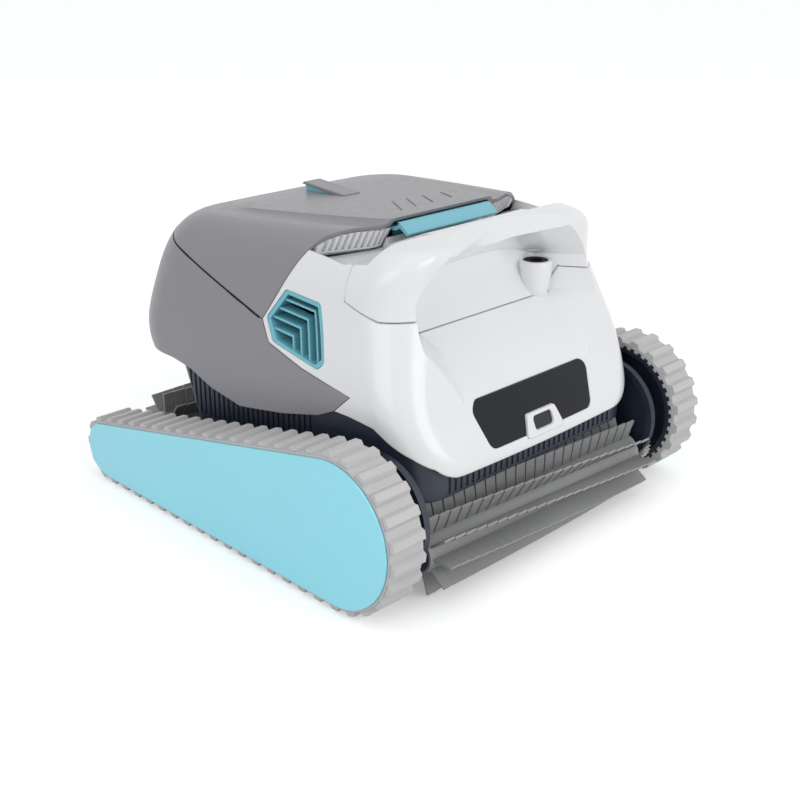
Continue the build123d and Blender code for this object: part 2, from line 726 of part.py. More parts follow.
with BuildPart() as lid_latch:
    add(side_prism(TAB_POINTS, TAB_HALF))
    for middle in (-TAB_LEG_X, TAB_LEG_X):
        add(strip(TAB_LEG, middle - TAB_LEG_WIDTH / 2, middle + TAB_LEG_WIDTH / 2))

with BuildPart() as lid_hinge_pin:
    add(tube(HINGE_Y, HINGE_Z, PIN_RADIUS, 0, -52, 52))

with BuildPart() as lid_float:
    add(side_prism(FLOAT_POINTS, FLOAT_HALF, 2.0))

# Outlet combs under the lid's front edge

comb_slots = int((COMB_FAR - COMB_NEAR) / COMB_PITCH)

with BuildPart() as right_outlet_comb:
    add(edge_prism(-2.0))
    add(edge_prism(3.0), mode=Mode.SUBTRACT)
    add(body(WALL + FIT), mode=Mode.INTERSECT)
    with Locations((COMB_NEAR, -60, COMB_BASE_Z)):
        Box(COMB_FAR - COMB_NEAR, 200, 100, align=(Align.MIN, Align.CENTER, Align.MIN), mode=Mode.INTERSECT)
    with Locations(*[(COMB_NEAR + COMB_PITCH * (i + 0.5), -60, COMB_BASE_Z + COMB_RAIL) for i in range(comb_slots)]):
        Box(COMB_SLOT, 200, 100, align=(Align.CENTER, Align.CENTER, Align.MIN), mode=Mode.SUBTRACT)

with BuildPart() as left_outlet_comb:
    mirror(right_outlet_comb.part, about=Plane.YZ)

# Chassis


def chassis_block(half, top, inset):
    """Chassis side view pulled across the part, its outline moved inwards by the inset."""
    rear_slope = (REAR_HIGH_Y - REAR_LOW_Y) / (CHASSIS_TOP - FLOOR_Z)
    front_slope = (FRONT_HIGH_Y - CHASSIS_FRONT) / (CHASSIS_TOP - CHASSIS_KNEE_Z)
    arch_end = degrees(acos((CHASSIS_FRONT - BRUSH_Y) / ARCH_RADIUS))
    arch_high = BRUSH_Z + ARCH_RADIUS * sin(radians(arch_end))
    with BuildPart() as block:
        with BuildSketch(Plane.YZ):
            with BuildLine():
                CenterArc((BRUSH_Y, BRUSH_Z), ARCH_RADIUS, 0, arch_end)
                Polyline((BRUSH_Y + ARCH_RADIUS, BRUSH_Z), (FLOOR_FRONT_Y, FLOOR_Z), (REAR_LOW_Y, FLOOR_Z),
                         (REAR_LOW_Y + rear_slope * (top - FLOOR_Z), top),
                         (CHASSIS_FRONT + front_slope * (top - CHASSIS_KNEE_Z), top),
                         (CHASSIS_FRONT, CHASSIS_KNEE_Z), (CHASSIS_FRONT, arch_high))
            make_face()
            if inset:
                offset(amount=-inset, kind=Kind.INTERSECTION)
        extrude(amount=half, both=True)
        with BuildSketch(Plane.XY):
            with BuildLine():
                FilletPolyline((-half, CHASSIS_FRONT + inset), (half, CHASSIS_FRONT + inset), (half, 300), (-half, 300),
                               radius=[FRONT_CORNER - inset, FRONT_CORNER - inset, 0, 0], close=True)
            make_face()
        extrude(amount=400, mode=Mode.INTERSECT)
        rear_edges = block.edges().filter_by(
            lambda e: abs(abs(e.center().X) - half) < 0.1 and e.center().Y > 60 and e.bounding_box().size.Z > 60)
        fillet(rear_edges, REAR_CORNER - inset)
    return block.part


def slab(x, y, z, width, depth, height):
    """Box standing on height z, its middle at x and y."""
    with BuildPart() as block:
        with Locations((x, y, z)):
            Box(width, depth, height, align=(Align.CENTER, Align.CENTER, Align.MIN))
    return block.part


under_shells = [(300, -10), (300, SKIRT_LOW[0][1] - SEAM)]
under_shells += [(y, z - SEAM) for y, z in SKIRT_LOW + SHELL_LOW] + [(-300, SHELL_LOW[-1][1] - SEAM), (-300, -10)]
door_lug_x = DOOR_WIDTH / 2 - 2

with BuildPart() as chassis_room:
    add(slab(0, 0, 0, 600, 800, NECK_Z))
    add(body(WALL + RUNNING + CHASSIS_WALL))
    add(chassis_block(CHASSIS_HALF - CHASSIS_WALL, CHASSIS_TOP + 20, CHASSIS_WALL), mode=Mode.INTERSECT)

with BuildPart() as chassis_limit:
    add(side_prism(under_shells, 200))
    add(neck)

with BuildPart() as deck:
    add(slab(0, 0, DECK_Z, 500, 600, DECK))
    add(neck, mode=Mode.INTERSECT)

with BuildPart() as side_ribs:
    with BuildSketch(Plane.YZ.offset(CHASSIS_HALF - RIB_DEPTH)):
        with Locations((25, 110)):
            with GridLocations(RIB_PITCH, 1, 25, 1):
                Rectangle(RIB_WIDTH, 60)
    extrude(amount=5)
    mirror(about=Plane.YZ)

with BuildPart() as front_ribs:
    with BuildSketch(Plane.XZ.offset(-CHASSIS_FRONT - RIB_DEPTH)):
        with Locations((0, 88)):
            with GridLocations(RIB_PITCH, 1, 31, 1):
                Rectangle(RIB_WIDTH, 18)
    extrude(amount=10)

chassis_cuts = [front_prism(grown(BEZEL, 3), -260, -120), recess_clear,
                tube(MOTOR_Y, MOTOR_Z, SHAFT_RADIUS + 3, 0, -200, 200),
                tube(DOOR_HINGE_Y, DOOR_HINGE_Z, DOOR_PIN + BEARING, 0, -140, 140)]
chassis_cuts += [tube(y, z, SCREW_RADIUS + 0.1, 0, -200, 200) for y, z in SCREW_SPOTS]
chassis_cuts += [slab(x, DOOR_Y, 0, DOOR_WIDTH, DOOR_DEPTH, 40) for x in (-DOOR_X, DOOR_X)]
floor_blocks = [slab(x, y, FLOOR_TOP, BASKET_POST, BASKET_POST, BASKET_LOW - FLOOR_TOP)
                for x in (-BASKET_POST_X, BASKET_POST_X) for y in BASKET_POST_Y]
floor_blocks += [slab(x + side, DOOR_HINGE_Y, FLOOR_TOP, 4, 6, 6)
                 for x in (-DOOR_X, DOOR_X) for side in (-door_lug_x, door_lug_x)]

with BuildPart() as chassis:
    add(chassis_block(CHASSIS_HALF, CHASSIS_TOP, 0.0))
    add([side_ribs.part, front_ribs.part], mode=Mode.SUBTRACT)
    add(chassis_limit.part, mode=Mode.INTERSECT)
    add(deck.part)
    add(chassis_room.part, mode=Mode.SUBTRACT)
    add(floor_blocks)
    add(chassis_cuts, mode=Mode.SUBTRACT)

# Intake flaps in the floor

barrel_half = door_lug_x - 2 - RUNNING

with BuildPart() as right_intake_flap:
    add(slab(DOOR_X, (DOOR_START + DOOR_REAR) / 2, FLOOR_TOP + FLAP_CLEAR, DOOR_WIDTH + 8, DOOR_REAR - DOOR_START,
             DOOR_PLATE))
    add(slab(DOOR_X, (DOOR_REAR + DOOR_HINGE_Y) / 2 - 0.5, FLOOR_TOP + FLAP_CLEAR, 2 * barrel_half,
             DOOR_HINGE_Y - DOOR_REAR + 1, DOOR_PLATE))
    add(tube(DOOR_HINGE_Y, DOOR_HINGE_Z, DOOR_BARREL, 0, DOOR_X - barrel_half, DOOR_X + barrel_half))
    add(tube(DOOR_HINGE_Y, DOOR_HINGE_Z, DOOR_PIN + BEARING, 0, 0, 140), mode=Mode.SUBTRACT)

with BuildPart() as left_intake_flap:
    mirror(right_intake_flap.part, about=Plane.YZ)

with BuildPart() as flap_pins:
    add(tube(DOOR_HINGE_Y, DOOR_HINGE_Z, DOOR_PIN, 0, DOOR_X - door_lug_x - 2, DOOR_X + door_lug_x + 2))
    mirror(about=Plane.YZ)

# Side frames, wheels and tracks; the right side is drawn and the left side mirrored


def track_plate(inset, near, far):
    """Solid plate with the track's outline moved inwards by the inset."""
    with BuildPart() as plate:
        with BuildSketch(Plane.YZ.offset(near)):
            make_face(track_wire(inset).edges())
        extrude(amount=far - near)
    return plate.part


with BuildPart() as right_side_frame:
    add(track_plate(FRAME_INSET, CHASSIS_HALF, FRAME_OUT))
    add(tube(FRONT_Y, FRONT_RADIUS, AXLE_RADIUS, 0, FRAME_OUT - 1, AXLE_END))
    add(tube(REAR_Y, REAR_RADIUS, REAR_AXLE_RADIUS, 0, FRAME_OUT - 1, AXLE_END))
    add(tube(ROLLER_Y, ROLLER_Z, ROLLER_AXLE_RADIUS, 0, FRAME_OUT - 1, AXLE_END))
    add(tube(FRONT_Y, FRONT_RADIUS, DISH_RADIUS, 0, CHASSIS_HALF - 1, CHASSIS_HALF + DISH), mode=Mode.SUBTRACT)
    add(tube(MOTOR_Y, MOTOR_Z, SHAFT_RADIUS + 3, 0, 140, 160), mode=Mode.SUBTRACT)
    add(tube(BRUSH_Y, BRUSH_Z, SEAT_RADIUS, 0, 140, 160), mode=Mode.SUBTRACT)
    add(tube(REAR_BRUSH_Y, REAR_BRUSH_Z, SEAT_RADIUS, 0, 140, CHASSIS_HALF + SEAT_DEPTH), mode=Mode.SUBTRACT)
    for y, z in SCREW_SPOTS:
        add(tube(y, z, SCREW_RADIUS + 0.1, 0, 140, 160), mode=Mode.SUBTRACT)

with BuildPart() as left_side_frame:
    mirror(right_side_frame.part, about=Plane.YZ)

with BuildPart() as right_side_panel:
    add(track_plate(PANEL_INSET, AXLE_END, WIDTH / 2))
    chamfer(right_side_panel.faces().sort_by(Axis.X)[-1].edges(), 0.6)

with BuildPart() as left_side_panel:
    mirror(right_side_panel.part, about=Plane.YZ)

with BuildPart() as frame_screws:
    for y, z in SCREW_SPOTS:
        add(tube(y, z, SCREW_RADIUS, 0, CHASSIS_HALF - 8, FRAME_OUT + 1))
        add(tube(y, z, SCREW_HEAD, 1.4, FRAME_OUT, FRAME_OUT + 2.5))
    mirror(about=Plane.YZ)

belt_length = track_wire(LUG_HEIGHT + BELT).length
tooth_count = round(belt_length / (2 * pi * FRONT_INNER / PULLEY_TEETH))
tooth_angle = degrees(belt_length / tooth_count / FRONT_INNER)
wrap_middle = 270 - 11.5 * tooth_angle    # a land of the belt lies half way round the pulley

with BuildPart() as right_track:
    add(track_plate(LUG_HEIGHT, BELT_IN, BELT_OUT))
    add(track_plate(LUG_HEIGHT + BELT, BELT_IN - 1, BELT_OUT + 1), mode=Mode.SUBTRACT)
    with BuildSketch(Plane.YZ.offset(BELT_IN + 0.6)):
        with Locations(*spots(0.0, LUG_COUNT, (LUG_HEIGHT + 0.5) / 2)):
            Trapezoid(LUG_WIDTH, LUG_HEIGHT + 0.5, 62)
    extrude(amount=BELT_WIDTH - 1.2)
    with BuildSketch(Plane.YZ.offset(BELT_IN)):
        with Locations(*spots(LUG_HEIGHT + BELT, tooth_count, (TOOTH_HEIGHT - 0.5) / 2)):
            Rectangle(TOOTH_WIDTH, TOOTH_HEIGHT + 0.5)
    extrude(amount=TOOTH_STRIP)

with BuildPart() as left_track:
    mirror(right_track.part, about=Plane.YZ)

bush_radius = AXLE_RADIUS + BUSH_WALL
idler_bush_radius = REAR_AXLE_RADIUS + BUSH_WALL
rim_radius = FRONT_INNER - RUNNING
root_radius = FRONT_INNER - TOOTH_HEIGHT - RUNNING
tooth_gap = 2 * pi * FRONT_INNER / PULLEY_TEETH - TOOTH_WIDTH

with BuildPart() as drive_bushes:
    add(tube(FRONT_Y, FRONT_RADIUS, bush_radius, AXLE_RADIUS, FRAME_OUT, AXLE_END - RUNNING))
    mirror(about=Plane.YZ)

with BuildPart() as idler_bushes:
    add(tube(REAR_Y, REAR_RADIUS, idler_bush_radius, REAR_AXLE_RADIUS, FRAME_OUT, AXLE_END - RUNNING))
    mirror(about=Plane.YZ)

with BuildPart() as right_drive_pulley:
    add(tube(FRONT_Y, FRONT_RADIUS, rim_radius, root_radius - RIM, STRIP_OUT + 0.3, BELT_OUT - 0.3))
    add(tube(FRONT_Y, FRONT_RADIUS, root_radius, root_radius - RIM, BELT_IN, STRIP_OUT + 0.3))
    with BuildSketch(Plane.YZ.offset(BELT_IN)):
        with Locations((FRONT_Y, FRONT_RADIUS)):
            with PolarLocations(root_radius + TOOTH_HEIGHT / 2 - 0.25, PULLEY_TEETH, wrap_middle):
                Rectangle(TOOTH_HEIGHT + 0.5, tooth_gap - 1.8)
    extrude(amount=TOOTH_STRIP)
    add(tube(FRONT_Y, FRONT_RADIUS, root_radius - RIM + 1, HUB_RADIUS - 1, 183, 183 + WEB))
    add(tube(FRONT_Y, FRONT_RADIUS, HUB_RADIUS, 0, FRAME_OUT + 1, BELT_OUT - 0.3))
    add(tube(FRONT_Y, FRONT_RADIUS, bush_radius + BEARING, 0, 100, 300), mode=Mode.SUBTRACT)

with BuildPart() as left_drive_pulley:
    mirror(right_drive_pulley.part, about=Plane.YZ)

with BuildPart() as right_idler:
    add(tube(REAR_Y, REAR_RADIUS, REAR_INNER - RUNNING, REAR_INNER - 7, STRIP_OUT + 0.3, BELT_OUT - 0.3))
    add(tube(REAR_Y, REAR_RADIUS, REAR_INNER - TOOTH_HEIGHT - RUNNING, REAR_INNER - 7, BELT_IN, STRIP_OUT + 0.3))
    add(tube(REAR_Y, REAR_RADIUS, REAR_INNER - 6, 11, 183, 183 + WEB))
    add(tube(REAR_Y, REAR_RADIUS, 12, 0, FRAME_OUT + 1, BELT_OUT - 0.3))
    add(tube(REAR_Y, REAR_RADIUS, idler_bush_radius + BEARING, 0, 100, 300), mode=Mode.SUBTRACT)

with BuildPart() as left_idler:
    mirror(right_idler.part, about=Plane.YZ)

with BuildPart() as right_roller:
    add(tube(ROLLER_Y, ROLLER_Z, ROLLER_RADIUS, ROLLER_AXLE_RADIUS + BEARING, STRIP_OUT + 0.5, BELT_OUT - 0.5))
    add(tube(ROLLER_Y, ROLLER_Z, ROLLER_RADIUS - 5, ROLLER_AXLE_RADIUS + BEARING, FRAME_OUT + 0.5, STRIP_OUT + 0.5))

with BuildPart() as left_roller:
    mirror(right_roller.part, about=Plane.YZ)

# Gears


def gear(axis_y, axis_z, teeth, phase, bore):
    """Spur gear along X with one tooth's middle at the phase angle."""
    with BuildPart() as wheel:
        with BuildSketch(Plane.YZ.offset(GEAR_IN)):
            with Locations((axis_y, axis_z)):
                Polygon(*gear_outline(teeth, phase), align=None)
                Circle(bore, mode=Mode.SUBTRACT)
        extrude(amount=GEAR_WIDTH)
    return wheel.part


drive_pitch = 360 / DRIVE_TEETH
brush_phase = BRUSH_ANGLE - 180 + 180 / BRUSH_TEETH
nearest = BRUSH_ANGLE + drive_pitch * round((MOTOR_ANGLE + 360 - BRUSH_ANGLE) / drive_pitch) - 360
motor_phase = MOTOR_ANGLE + 180 - (nearest - MOTOR_ANGLE) * DRIVE_TEETH / MOTOR_TEETH + 180 / MOTOR_TEETH

with BuildPart() as right_drive_gear:
    add(gear(FRONT_Y, FRONT_RADIUS, DRIVE_TEETH, BRUSH_ANGLE, HUB_RADIUS + BEARING))

with BuildPart() as left_drive_gear:
    mirror(right_drive_gear.part, about=Plane.YZ)

with BuildPart() as brush_pinion:
    add(gear(BRUSH_Y, BRUSH_Z, BRUSH_TEETH, brush_phase, JOURNAL_RADIUS + BEARING))

with BuildPart() as right_motor_pinion:
    add(gear(MOTOR_Y, MOTOR_Z, MOTOR_TEETH, motor_phase, SHAFT_RADIUS + BEARING))

with BuildPart() as left_motor_pinion:
    mirror(right_motor_pinion.part, about=Plane.YZ)

# Brushes


def brush_core(axis_y, axis_z, left_end, right_end):
    """Hollow brush roll with a journal at each end."""
    with BuildPart() as roll:
        add(tube(axis_y, axis_z, BRUSH_CORE, BRUSH_CORE - 2.5, -BRUSH_HALF, BRUSH_HALF))
        add(tube(axis_y, axis_z, BRUSH_CORE, 0, -BRUSH_HALF, -BRUSH_HALF + 4))
        add(tube(axis_y, axis_z, BRUSH_CORE, 0, BRUSH_HALF - 4, BRUSH_HALF))
        add(tube(axis_y, axis_z, JOURNAL_RADIUS, 0, left_end, -BRUSH_HALF))
        add(tube(axis_y, axis_z, JOURNAL_RADIUS, 0, BRUSH_HALF, right_end))
    return roll.part


def brush_sleeve(axis_y, axis_z, start):
    """Moulded sleeve with rows of flaps, each row stepping round from one flap to the next."""
    ring = BRUSH_CORE + BRUSH_SLEEVE
    reach = BRUSH_RADIUS - ring + 0.8
    with BuildPart() as sleeve:
        add(tube(axis_y, axis_z, ring, BRUSH_CORE + BEARING, -BRUSH_HALF + 0.5, BRUSH_HALF - 0.5))
        for i in range(FLAP_COUNT):
            near = (i - FLAP_COUNT / 2) * FLAP_PITCH + (FLAP_PITCH - FLAP_WIDTH) / 2
            with BuildSketch(Plane.YZ.offset(near)):
                with Locations((axis_y, axis_z)):
                    with PolarLocations(BRUSH_RADIUS - reach / 2, FLAP_ROWS, start + FLAP_TWIST * i):
                        Rectangle(reach, FLAP)
        extrude(amount=FLAP_WIDTH)
    return sleeve.part


with BuildPart() as front_brush_core:
    add(brush_core(BRUSH_Y, BRUSH_Z, -FRAME_OUT + 1.5, GEAR_OUT))

with BuildPart() as front_brush_sleeve:
    add(brush_sleeve(BRUSH_Y, BRUSH_Z, 0.0))

with BuildPart() as rear_brush_core:
    add(brush_core(REAR_BRUSH_Y, REAR_BRUSH_Z, -CHASSIS_HALF - SEAT_DEPTH + 0.5, CHASSIS_HALF + SEAT_DEPTH - 0.5))

with BuildPart() as rear_brush_sleeve:
    add(brush_sleeve(REAR_BRUSH_Y, REAR_BRUSH_Z, 18.0))

with BuildPart() as brush_bushes:
    for y, z in ((BRUSH_Y, BRUSH_Z), (REAR_BRUSH_Y, REAR_BRUSH_Z)):
        add(tube(y, z, SEAT_RADIUS, JOURNAL_RADIUS + BEARING, CHASSIS_HALF, CHASSIS_HALF + SEAT_DEPTH))
    mirror(about=Plane.YZ)

# Motor unit and its shafts

motor_y = (MOTOR_FRONT + MOTOR_REAR) / 2
motor_depth = MOTOR_REAR - MOTOR_FRONT
cover_low = MOTOR_SEAL_Z + MOTOR_SEAL
post_x = MOTOR_HALF - MOTOR_POST_INSET
post_y = motor_depth / 2 - MOTOR_POST_INSET


def motor_block(inset, low, high):
    """Rounded block with the motor unit's plan, moved inwards by the inset."""
    with BuildPart() as block:
        with BuildSketch(Plane.XY.offset(low)):
            with Locations((0, motor_y)):
                RectangleRounded(2 * (MOTOR_HALF - inset), motor_depth - 2 * inset, max(MOTOR_CORNER - inset, 1.5))
        extrude(amount=high - low)
    return block.part


def motor_posts(radius, low, high):
    """Round bars in the four corners of the motor unit."""
    with BuildPart() as posts:
        with BuildSketch(Plane.XY.offset(low)):
            with Locations((0, motor_y)):
                with GridLocations(2 * post_x, 2 * post_y, 2, 2):
                    Circle(radius)
        extrude(amount=high - low)
    return posts.part


with BuildPart() as motor_housing:
    add(motor_block(0.0, FLOOR_TOP, MOTOR_SEAL_Z))
    add(motor_block(MOTOR_WALL, FLOOR_TOP + MOTOR_WALL, MOTOR_SEAL_Z + 1), mode=Mode.SUBTRACT)
    add(motor_posts(MOTOR_POST, FLOOR_TOP + 1, MOTOR_SEAL_Z))
    add(motor_posts(SCREW_RADIUS, 70, MOTOR_SEAL_Z + 1), mode=Mode.SUBTRACT)
    add(tube(MOTOR_Y, MOTOR_Z, SHAFT_RADIUS + BEARING, 0, -100, 100), mode=Mode.SUBTRACT)

with BuildPart() as motor_seal:
    add(motor_block(0.0, MOTOR_SEAL_Z, cover_low))
    add(motor_block(MOTOR_WALL, MOTOR_SEAL_Z - 1, cover_low + 1), mode=Mode.SUBTRACT)

with BuildPart() as motor_cover:
    add(motor_block(0.0, cover_low, MOTOR_TOP))
    add(motor_block(MOTOR_WALL, cover_low - 1, MOTOR_TOP - MOTOR_WALL), mode=Mode.SUBTRACT)
    add(motor_posts(MOTOR_POST, cover_low, MOTOR_TOP - 1))
    add(motor_posts(SCREW_RADIUS, 70, MOTOR_TOP + 1), mode=Mode.SUBTRACT)
    add(upright(0, PUMP_Y, SHAFT_RADIUS + BEARING, 80, MOTOR_TOP + 1), mode=Mode.SUBTRACT)

with BuildPart() as motor_screws:
    add(motor_posts(SCREW_RADIUS - 0.1, 72, MOTOR_TOP + 1))
    add(motor_posts(SCREW_HEAD, MOTOR_TOP, MOTOR_TOP + 2.5))

with BuildPart() as right_motor_shaft:
    add(tube(MOTOR_Y, MOTOR_Z, SHAFT_RADIUS, 0, 20, GEAR_OUT))

with BuildPart() as left_motor_shaft:
    mirror(right_motor_shaft.part, about=Plane.YZ)

with BuildPart() as control_box:
    with BuildSketch(Plane.XY.offset(CONTROL_LOW)):
        with Locations((0, (CONTROL_FRONT + MOTOR_FRONT) / 2)):
            RectangleRounded(2 * CONTROL_HALF, MOTOR_FRONT - CONTROL_FRONT, 4)
    extrude(amount=CONTROL_TOP - CONTROL_LOW)

# Pump

duct_inner = IMPELLER_RADIUS + DUCT_GAP
duct_outer = duct_inner + DUCT_WALL
impeller_top = IMPELLER_Z + IMPELLER_HEIGHT

with BuildPart() as impeller:
    with Locations((0, PUMP_Y, IMPELLER_Z + IMPELLER_HEIGHT / 2)):
        with PolarLocations(IMPELLER_RADIUS / 2 + 3, BLADES):
            Box(IMPELLER_RADIUS, BLADE, 2 * IMPELLER_HEIGHT, rotation=(BLADE_PITCH, 0, 0))
    add(upright(0, PUMP_Y, IMPELLER_RADIUS, IMPELLER_Z, impeller_top), mode=Mode.INTERSECT)
    add(upright(0, PUMP_Y, IMPELLER_HUB, IMPELLER_Z, impeller_top))
    add(upright(0, PUMP_Y, SHAFT_RADIUS + BEARING, 0, 300), mode=Mode.SUBTRACT)

with BuildPart() as impeller_shaft:
    add(upright(0, PUMP_Y, SHAFT_RADIUS, cover_low + 2, impeller_top + 2))

with BuildPart() as pump_duct:
    add(upright(0, PUMP_Y, duct_outer, MOTOR_TOP, DUCT_TOP))
    add(upright(0, PUMP_Y, duct_inner, MOTOR_TOP - 1, DUCT_TOP + 1), mode=Mode.SUBTRACT)
    with Locations((0, PUMP_Y, MOTOR_TOP + 2)):
        with PolarLocations(duct_outer, 6):
            Box(12, 24, 8, align=(Align.CENTER, Align.CENTER, Align.MIN), mode=Mode.SUBTRACT)

# Filter basket

basket_y = (BASKET_FRONT + BASKET_REAR) / 2
basket_depth = BASKET_REAR - BASKET_FRONT
basket_height = BASKET_TOP - BASKET_LOW

with BuildPart() as filter_basket:
    add(slab(0, basket_y, BASKET_LOW, 2 * BASKET_HALF, basket_depth, basket_height))
    add(slab(0, basket_y, BASKET_LOW + BASKET_WALL, 2 * (BASKET_HALF - BASKET_WALL), basket_depth - 2 * BASKET_WALL,
             basket_height), mode=Mode.SUBTRACT)
    for x in (-BASKET_HALF / 2, BASKET_HALF / 2):
        add(slab(x, basket_y, BASKET_LOW + BASKET_RAIL, BASKET_HALF - BASKET_RAIL, 300, basket_height - 2 * BASKET_RAIL),
            mode=Mode.SUBTRACT)
    for y in (basket_y - basket_depth / 4, basket_y + basket_depth / 4):
        add(slab(0, y, BASKET_LOW + BASKET_RAIL, 400, basket_depth / 2 - BASKET_RAIL, basket_height - 2 * BASKET_RAIL),
            mode=Mode.SUBTRACT)
    add(slab(0, DOOR_Y, BASKET_LOW - 1, 2 * (DOOR_X + DOOR_WIDTH / 2), DOOR_DEPTH + 10, 6), mode=Mode.SUBTRACT)
    add(slab(0, basket_y, BASKET_TOP - 5, 2 * BASKET_HALF - 1, BASKET_BAIL, 5))

panel_low = BASKET_LOW + BASKET_WALL
panel_high = BASKET_TOP - 6
panel_x = BASKET_HALF - BASKET_WALL - PANEL_SHEET / 2
panel_y = basket_depth / 2 - BASKET_WALL - PANEL_SHEET / 2

with BuildPart() as filter_panels:
    for side in (-1, 1):
        add(slab(side * panel_x, basket_y, panel_low, PANEL_SHEET, basket_depth - 2 * BASKET_WALL - 4,
                 panel_high - panel_low))
        add(slab(0, basket_y + side * panel_y, panel_low, 2 * (BASKET_HALF - BASKET_WALL) - 4, PANEL_SHEET,
                 panel_high - panel_low))

# Every piece under its own name

pieces = {
    "handle_cover": handle_cover,
    "cable_gland": cable_gland,
    "front_shell": front_shell,
    "front_window": front_window,
    "sensor_bezel": sensor_bezel,
    "sensor_lens": sensor_lens,
    "right_vent": right_vent,
    "left_vent": left_vent,
    "rear_skirt": rear_skirt,
    "filter_lid": filter_lid,
    "lid_insert": lid_insert,
    "lid_latch": lid_latch,
    "lid_hinge_pin": lid_hinge_pin,
    "lid_float": lid_float,
    "right_outlet_comb": right_outlet_comb,
    "left_outlet_comb": left_outlet_comb,
    "chassis": chassis,
    "right_intake_flap": right_intake_flap,
    "left_intake_flap": left_intake_flap,
    "flap_pins": flap_pins,
    "right_side_frame": right_side_frame,
    "left_side_frame": left_side_frame,
    "right_side_panel": right_side_panel,
    "left_side_panel": left_side_panel,
    "frame_screws": frame_screws,
    "right_track": right_track,
    "left_track": left_track,
    "drive_bushes": drive_bushes,
    "idler_bushes": idler_bushes,
    "right_drive_pulley": right_drive_pulley,
    "left_drive_pulley": left_drive_pulley,
    "right_idler": right_idler,
    "left_idler": left_idler,
    "right_roller": right_roller,
    "left_roller": left_roller,
    "right_drive_gear": right_drive_gear,
    "left_drive_gear": left_drive_gear,
    "brush_pinion": brush_pinion,
    "right_motor_pinion": right_motor_pinion,
    "left_motor_pinion": left_motor_pinion,
    "front_brush_core": front_brush_core,
    "front_brush_sleeve": front_brush_sleeve,
    "rear_brush_core": rear_brush_core,
    "rear_brush_sleeve": rear_brush_sleeve,
    "brush_bushes": brush_bushes,
    "motor_housing": motor_housing,
    "motor_seal": motor_seal,
    "motor_cover": motor_cover,
    "motor_screws": motor_screws,
    "right_motor_shaft": right_motor_shaft,
    "left_motor_shaft": left_motor_shaft,
    "control_box": control_box,
    "impeller": impeller,
    "impeller_shaft": impeller_shaft,
    "pump_duct": pump_duct,
    "filter_basket": filter_basket,
    "filter_panels": filter_panels,
}

for name, piece in pieces.items():
    piece.part.label = name
    export_step(piece.part, f"parts/{name}.step")
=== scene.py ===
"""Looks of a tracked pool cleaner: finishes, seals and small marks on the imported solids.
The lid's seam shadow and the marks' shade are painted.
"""
import json
from math import radians

import bpy
import numpy as np
from mathutils import Matrix, Vector


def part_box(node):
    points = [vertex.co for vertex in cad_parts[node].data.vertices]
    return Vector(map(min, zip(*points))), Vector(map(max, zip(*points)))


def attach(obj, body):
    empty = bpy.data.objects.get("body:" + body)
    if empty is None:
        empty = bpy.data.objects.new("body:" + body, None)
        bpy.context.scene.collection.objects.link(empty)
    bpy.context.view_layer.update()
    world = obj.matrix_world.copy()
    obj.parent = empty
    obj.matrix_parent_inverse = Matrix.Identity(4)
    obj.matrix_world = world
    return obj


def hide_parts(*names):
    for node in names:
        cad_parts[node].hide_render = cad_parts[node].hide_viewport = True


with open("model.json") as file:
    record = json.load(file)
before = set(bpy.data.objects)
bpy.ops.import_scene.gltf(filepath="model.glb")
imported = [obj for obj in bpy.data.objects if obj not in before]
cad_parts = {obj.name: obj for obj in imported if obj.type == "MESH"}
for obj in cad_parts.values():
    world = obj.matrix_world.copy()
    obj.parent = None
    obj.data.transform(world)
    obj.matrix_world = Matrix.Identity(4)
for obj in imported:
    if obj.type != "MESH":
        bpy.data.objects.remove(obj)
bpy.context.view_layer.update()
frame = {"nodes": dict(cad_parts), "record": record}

# Chassis and side frames
# Dark navy plastic mouldings with upright ribs: a tub, and a plate at each side that carries the axles.
# The plates are screwed to the tub.


def shader_node(tree, kind, inputs=None, **settings):
    """Adds one node: its settings, then its inputs, where a socket is linked and any other value is set."""
    made = tree.nodes.new(kind)
    for name, value in settings.items():
        setattr(made, name, value)
    for name, value in (inputs or {}).items():
        if isinstance(value, bpy.types.NodeSocket):
            tree.links.new(value, made.inputs[name])
        else:
            made.inputs[name].default_value = value
    return made


def new_group(name, inputs, outputs):
    """Shader node group with named sockets; gives its tree and the sockets that come in and that go out."""
    tree = bpy.data.node_groups.new(name, "ShaderNodeTree")
    kinds = {"colour": "NodeSocketColor", "value": "NodeSocketFloat", "vector": "NodeSocketVector"}
    for socket, kind in inputs.items():
        tree.interface.new_socket(name=socket, in_out="INPUT", socket_type=kinds[kind])
    for socket, kind in outputs.items():
        tree.interface.new_socket(name=socket, in_out="OUTPUT", socket_type=kinds[kind])
    return tree, tree.nodes.new("NodeGroupInput").outputs, tree.nodes.new("NodeGroupOutput").inputs


def mixed(tree, factor, first, second):
    """Colour between two colours, by a factor of 0 to 1."""
    return shader_node(tree, "ShaderNodeMix", {0: factor, 6: first, 7: second}, data_type="RGBA").outputs[2]


def spread(tree, value, low, high, to_low, to_high):
    """Value stretched from one range to another and held inside it."""
    return shader_node(tree, "ShaderNodeMapRange",
                       {"Value": value, "From Min": low, "From Max": high, "To Min": to_low,
                        "To Max": to_high}).outputs["Result"]


def calculated(tree, operation, *values):
    """Result of one operation; MULTIPLY_ADD is the first value times the second plus the third."""
    return shader_node(tree, "ShaderNodeMath", dict(enumerate(values)), operation=operation).outputs[0]


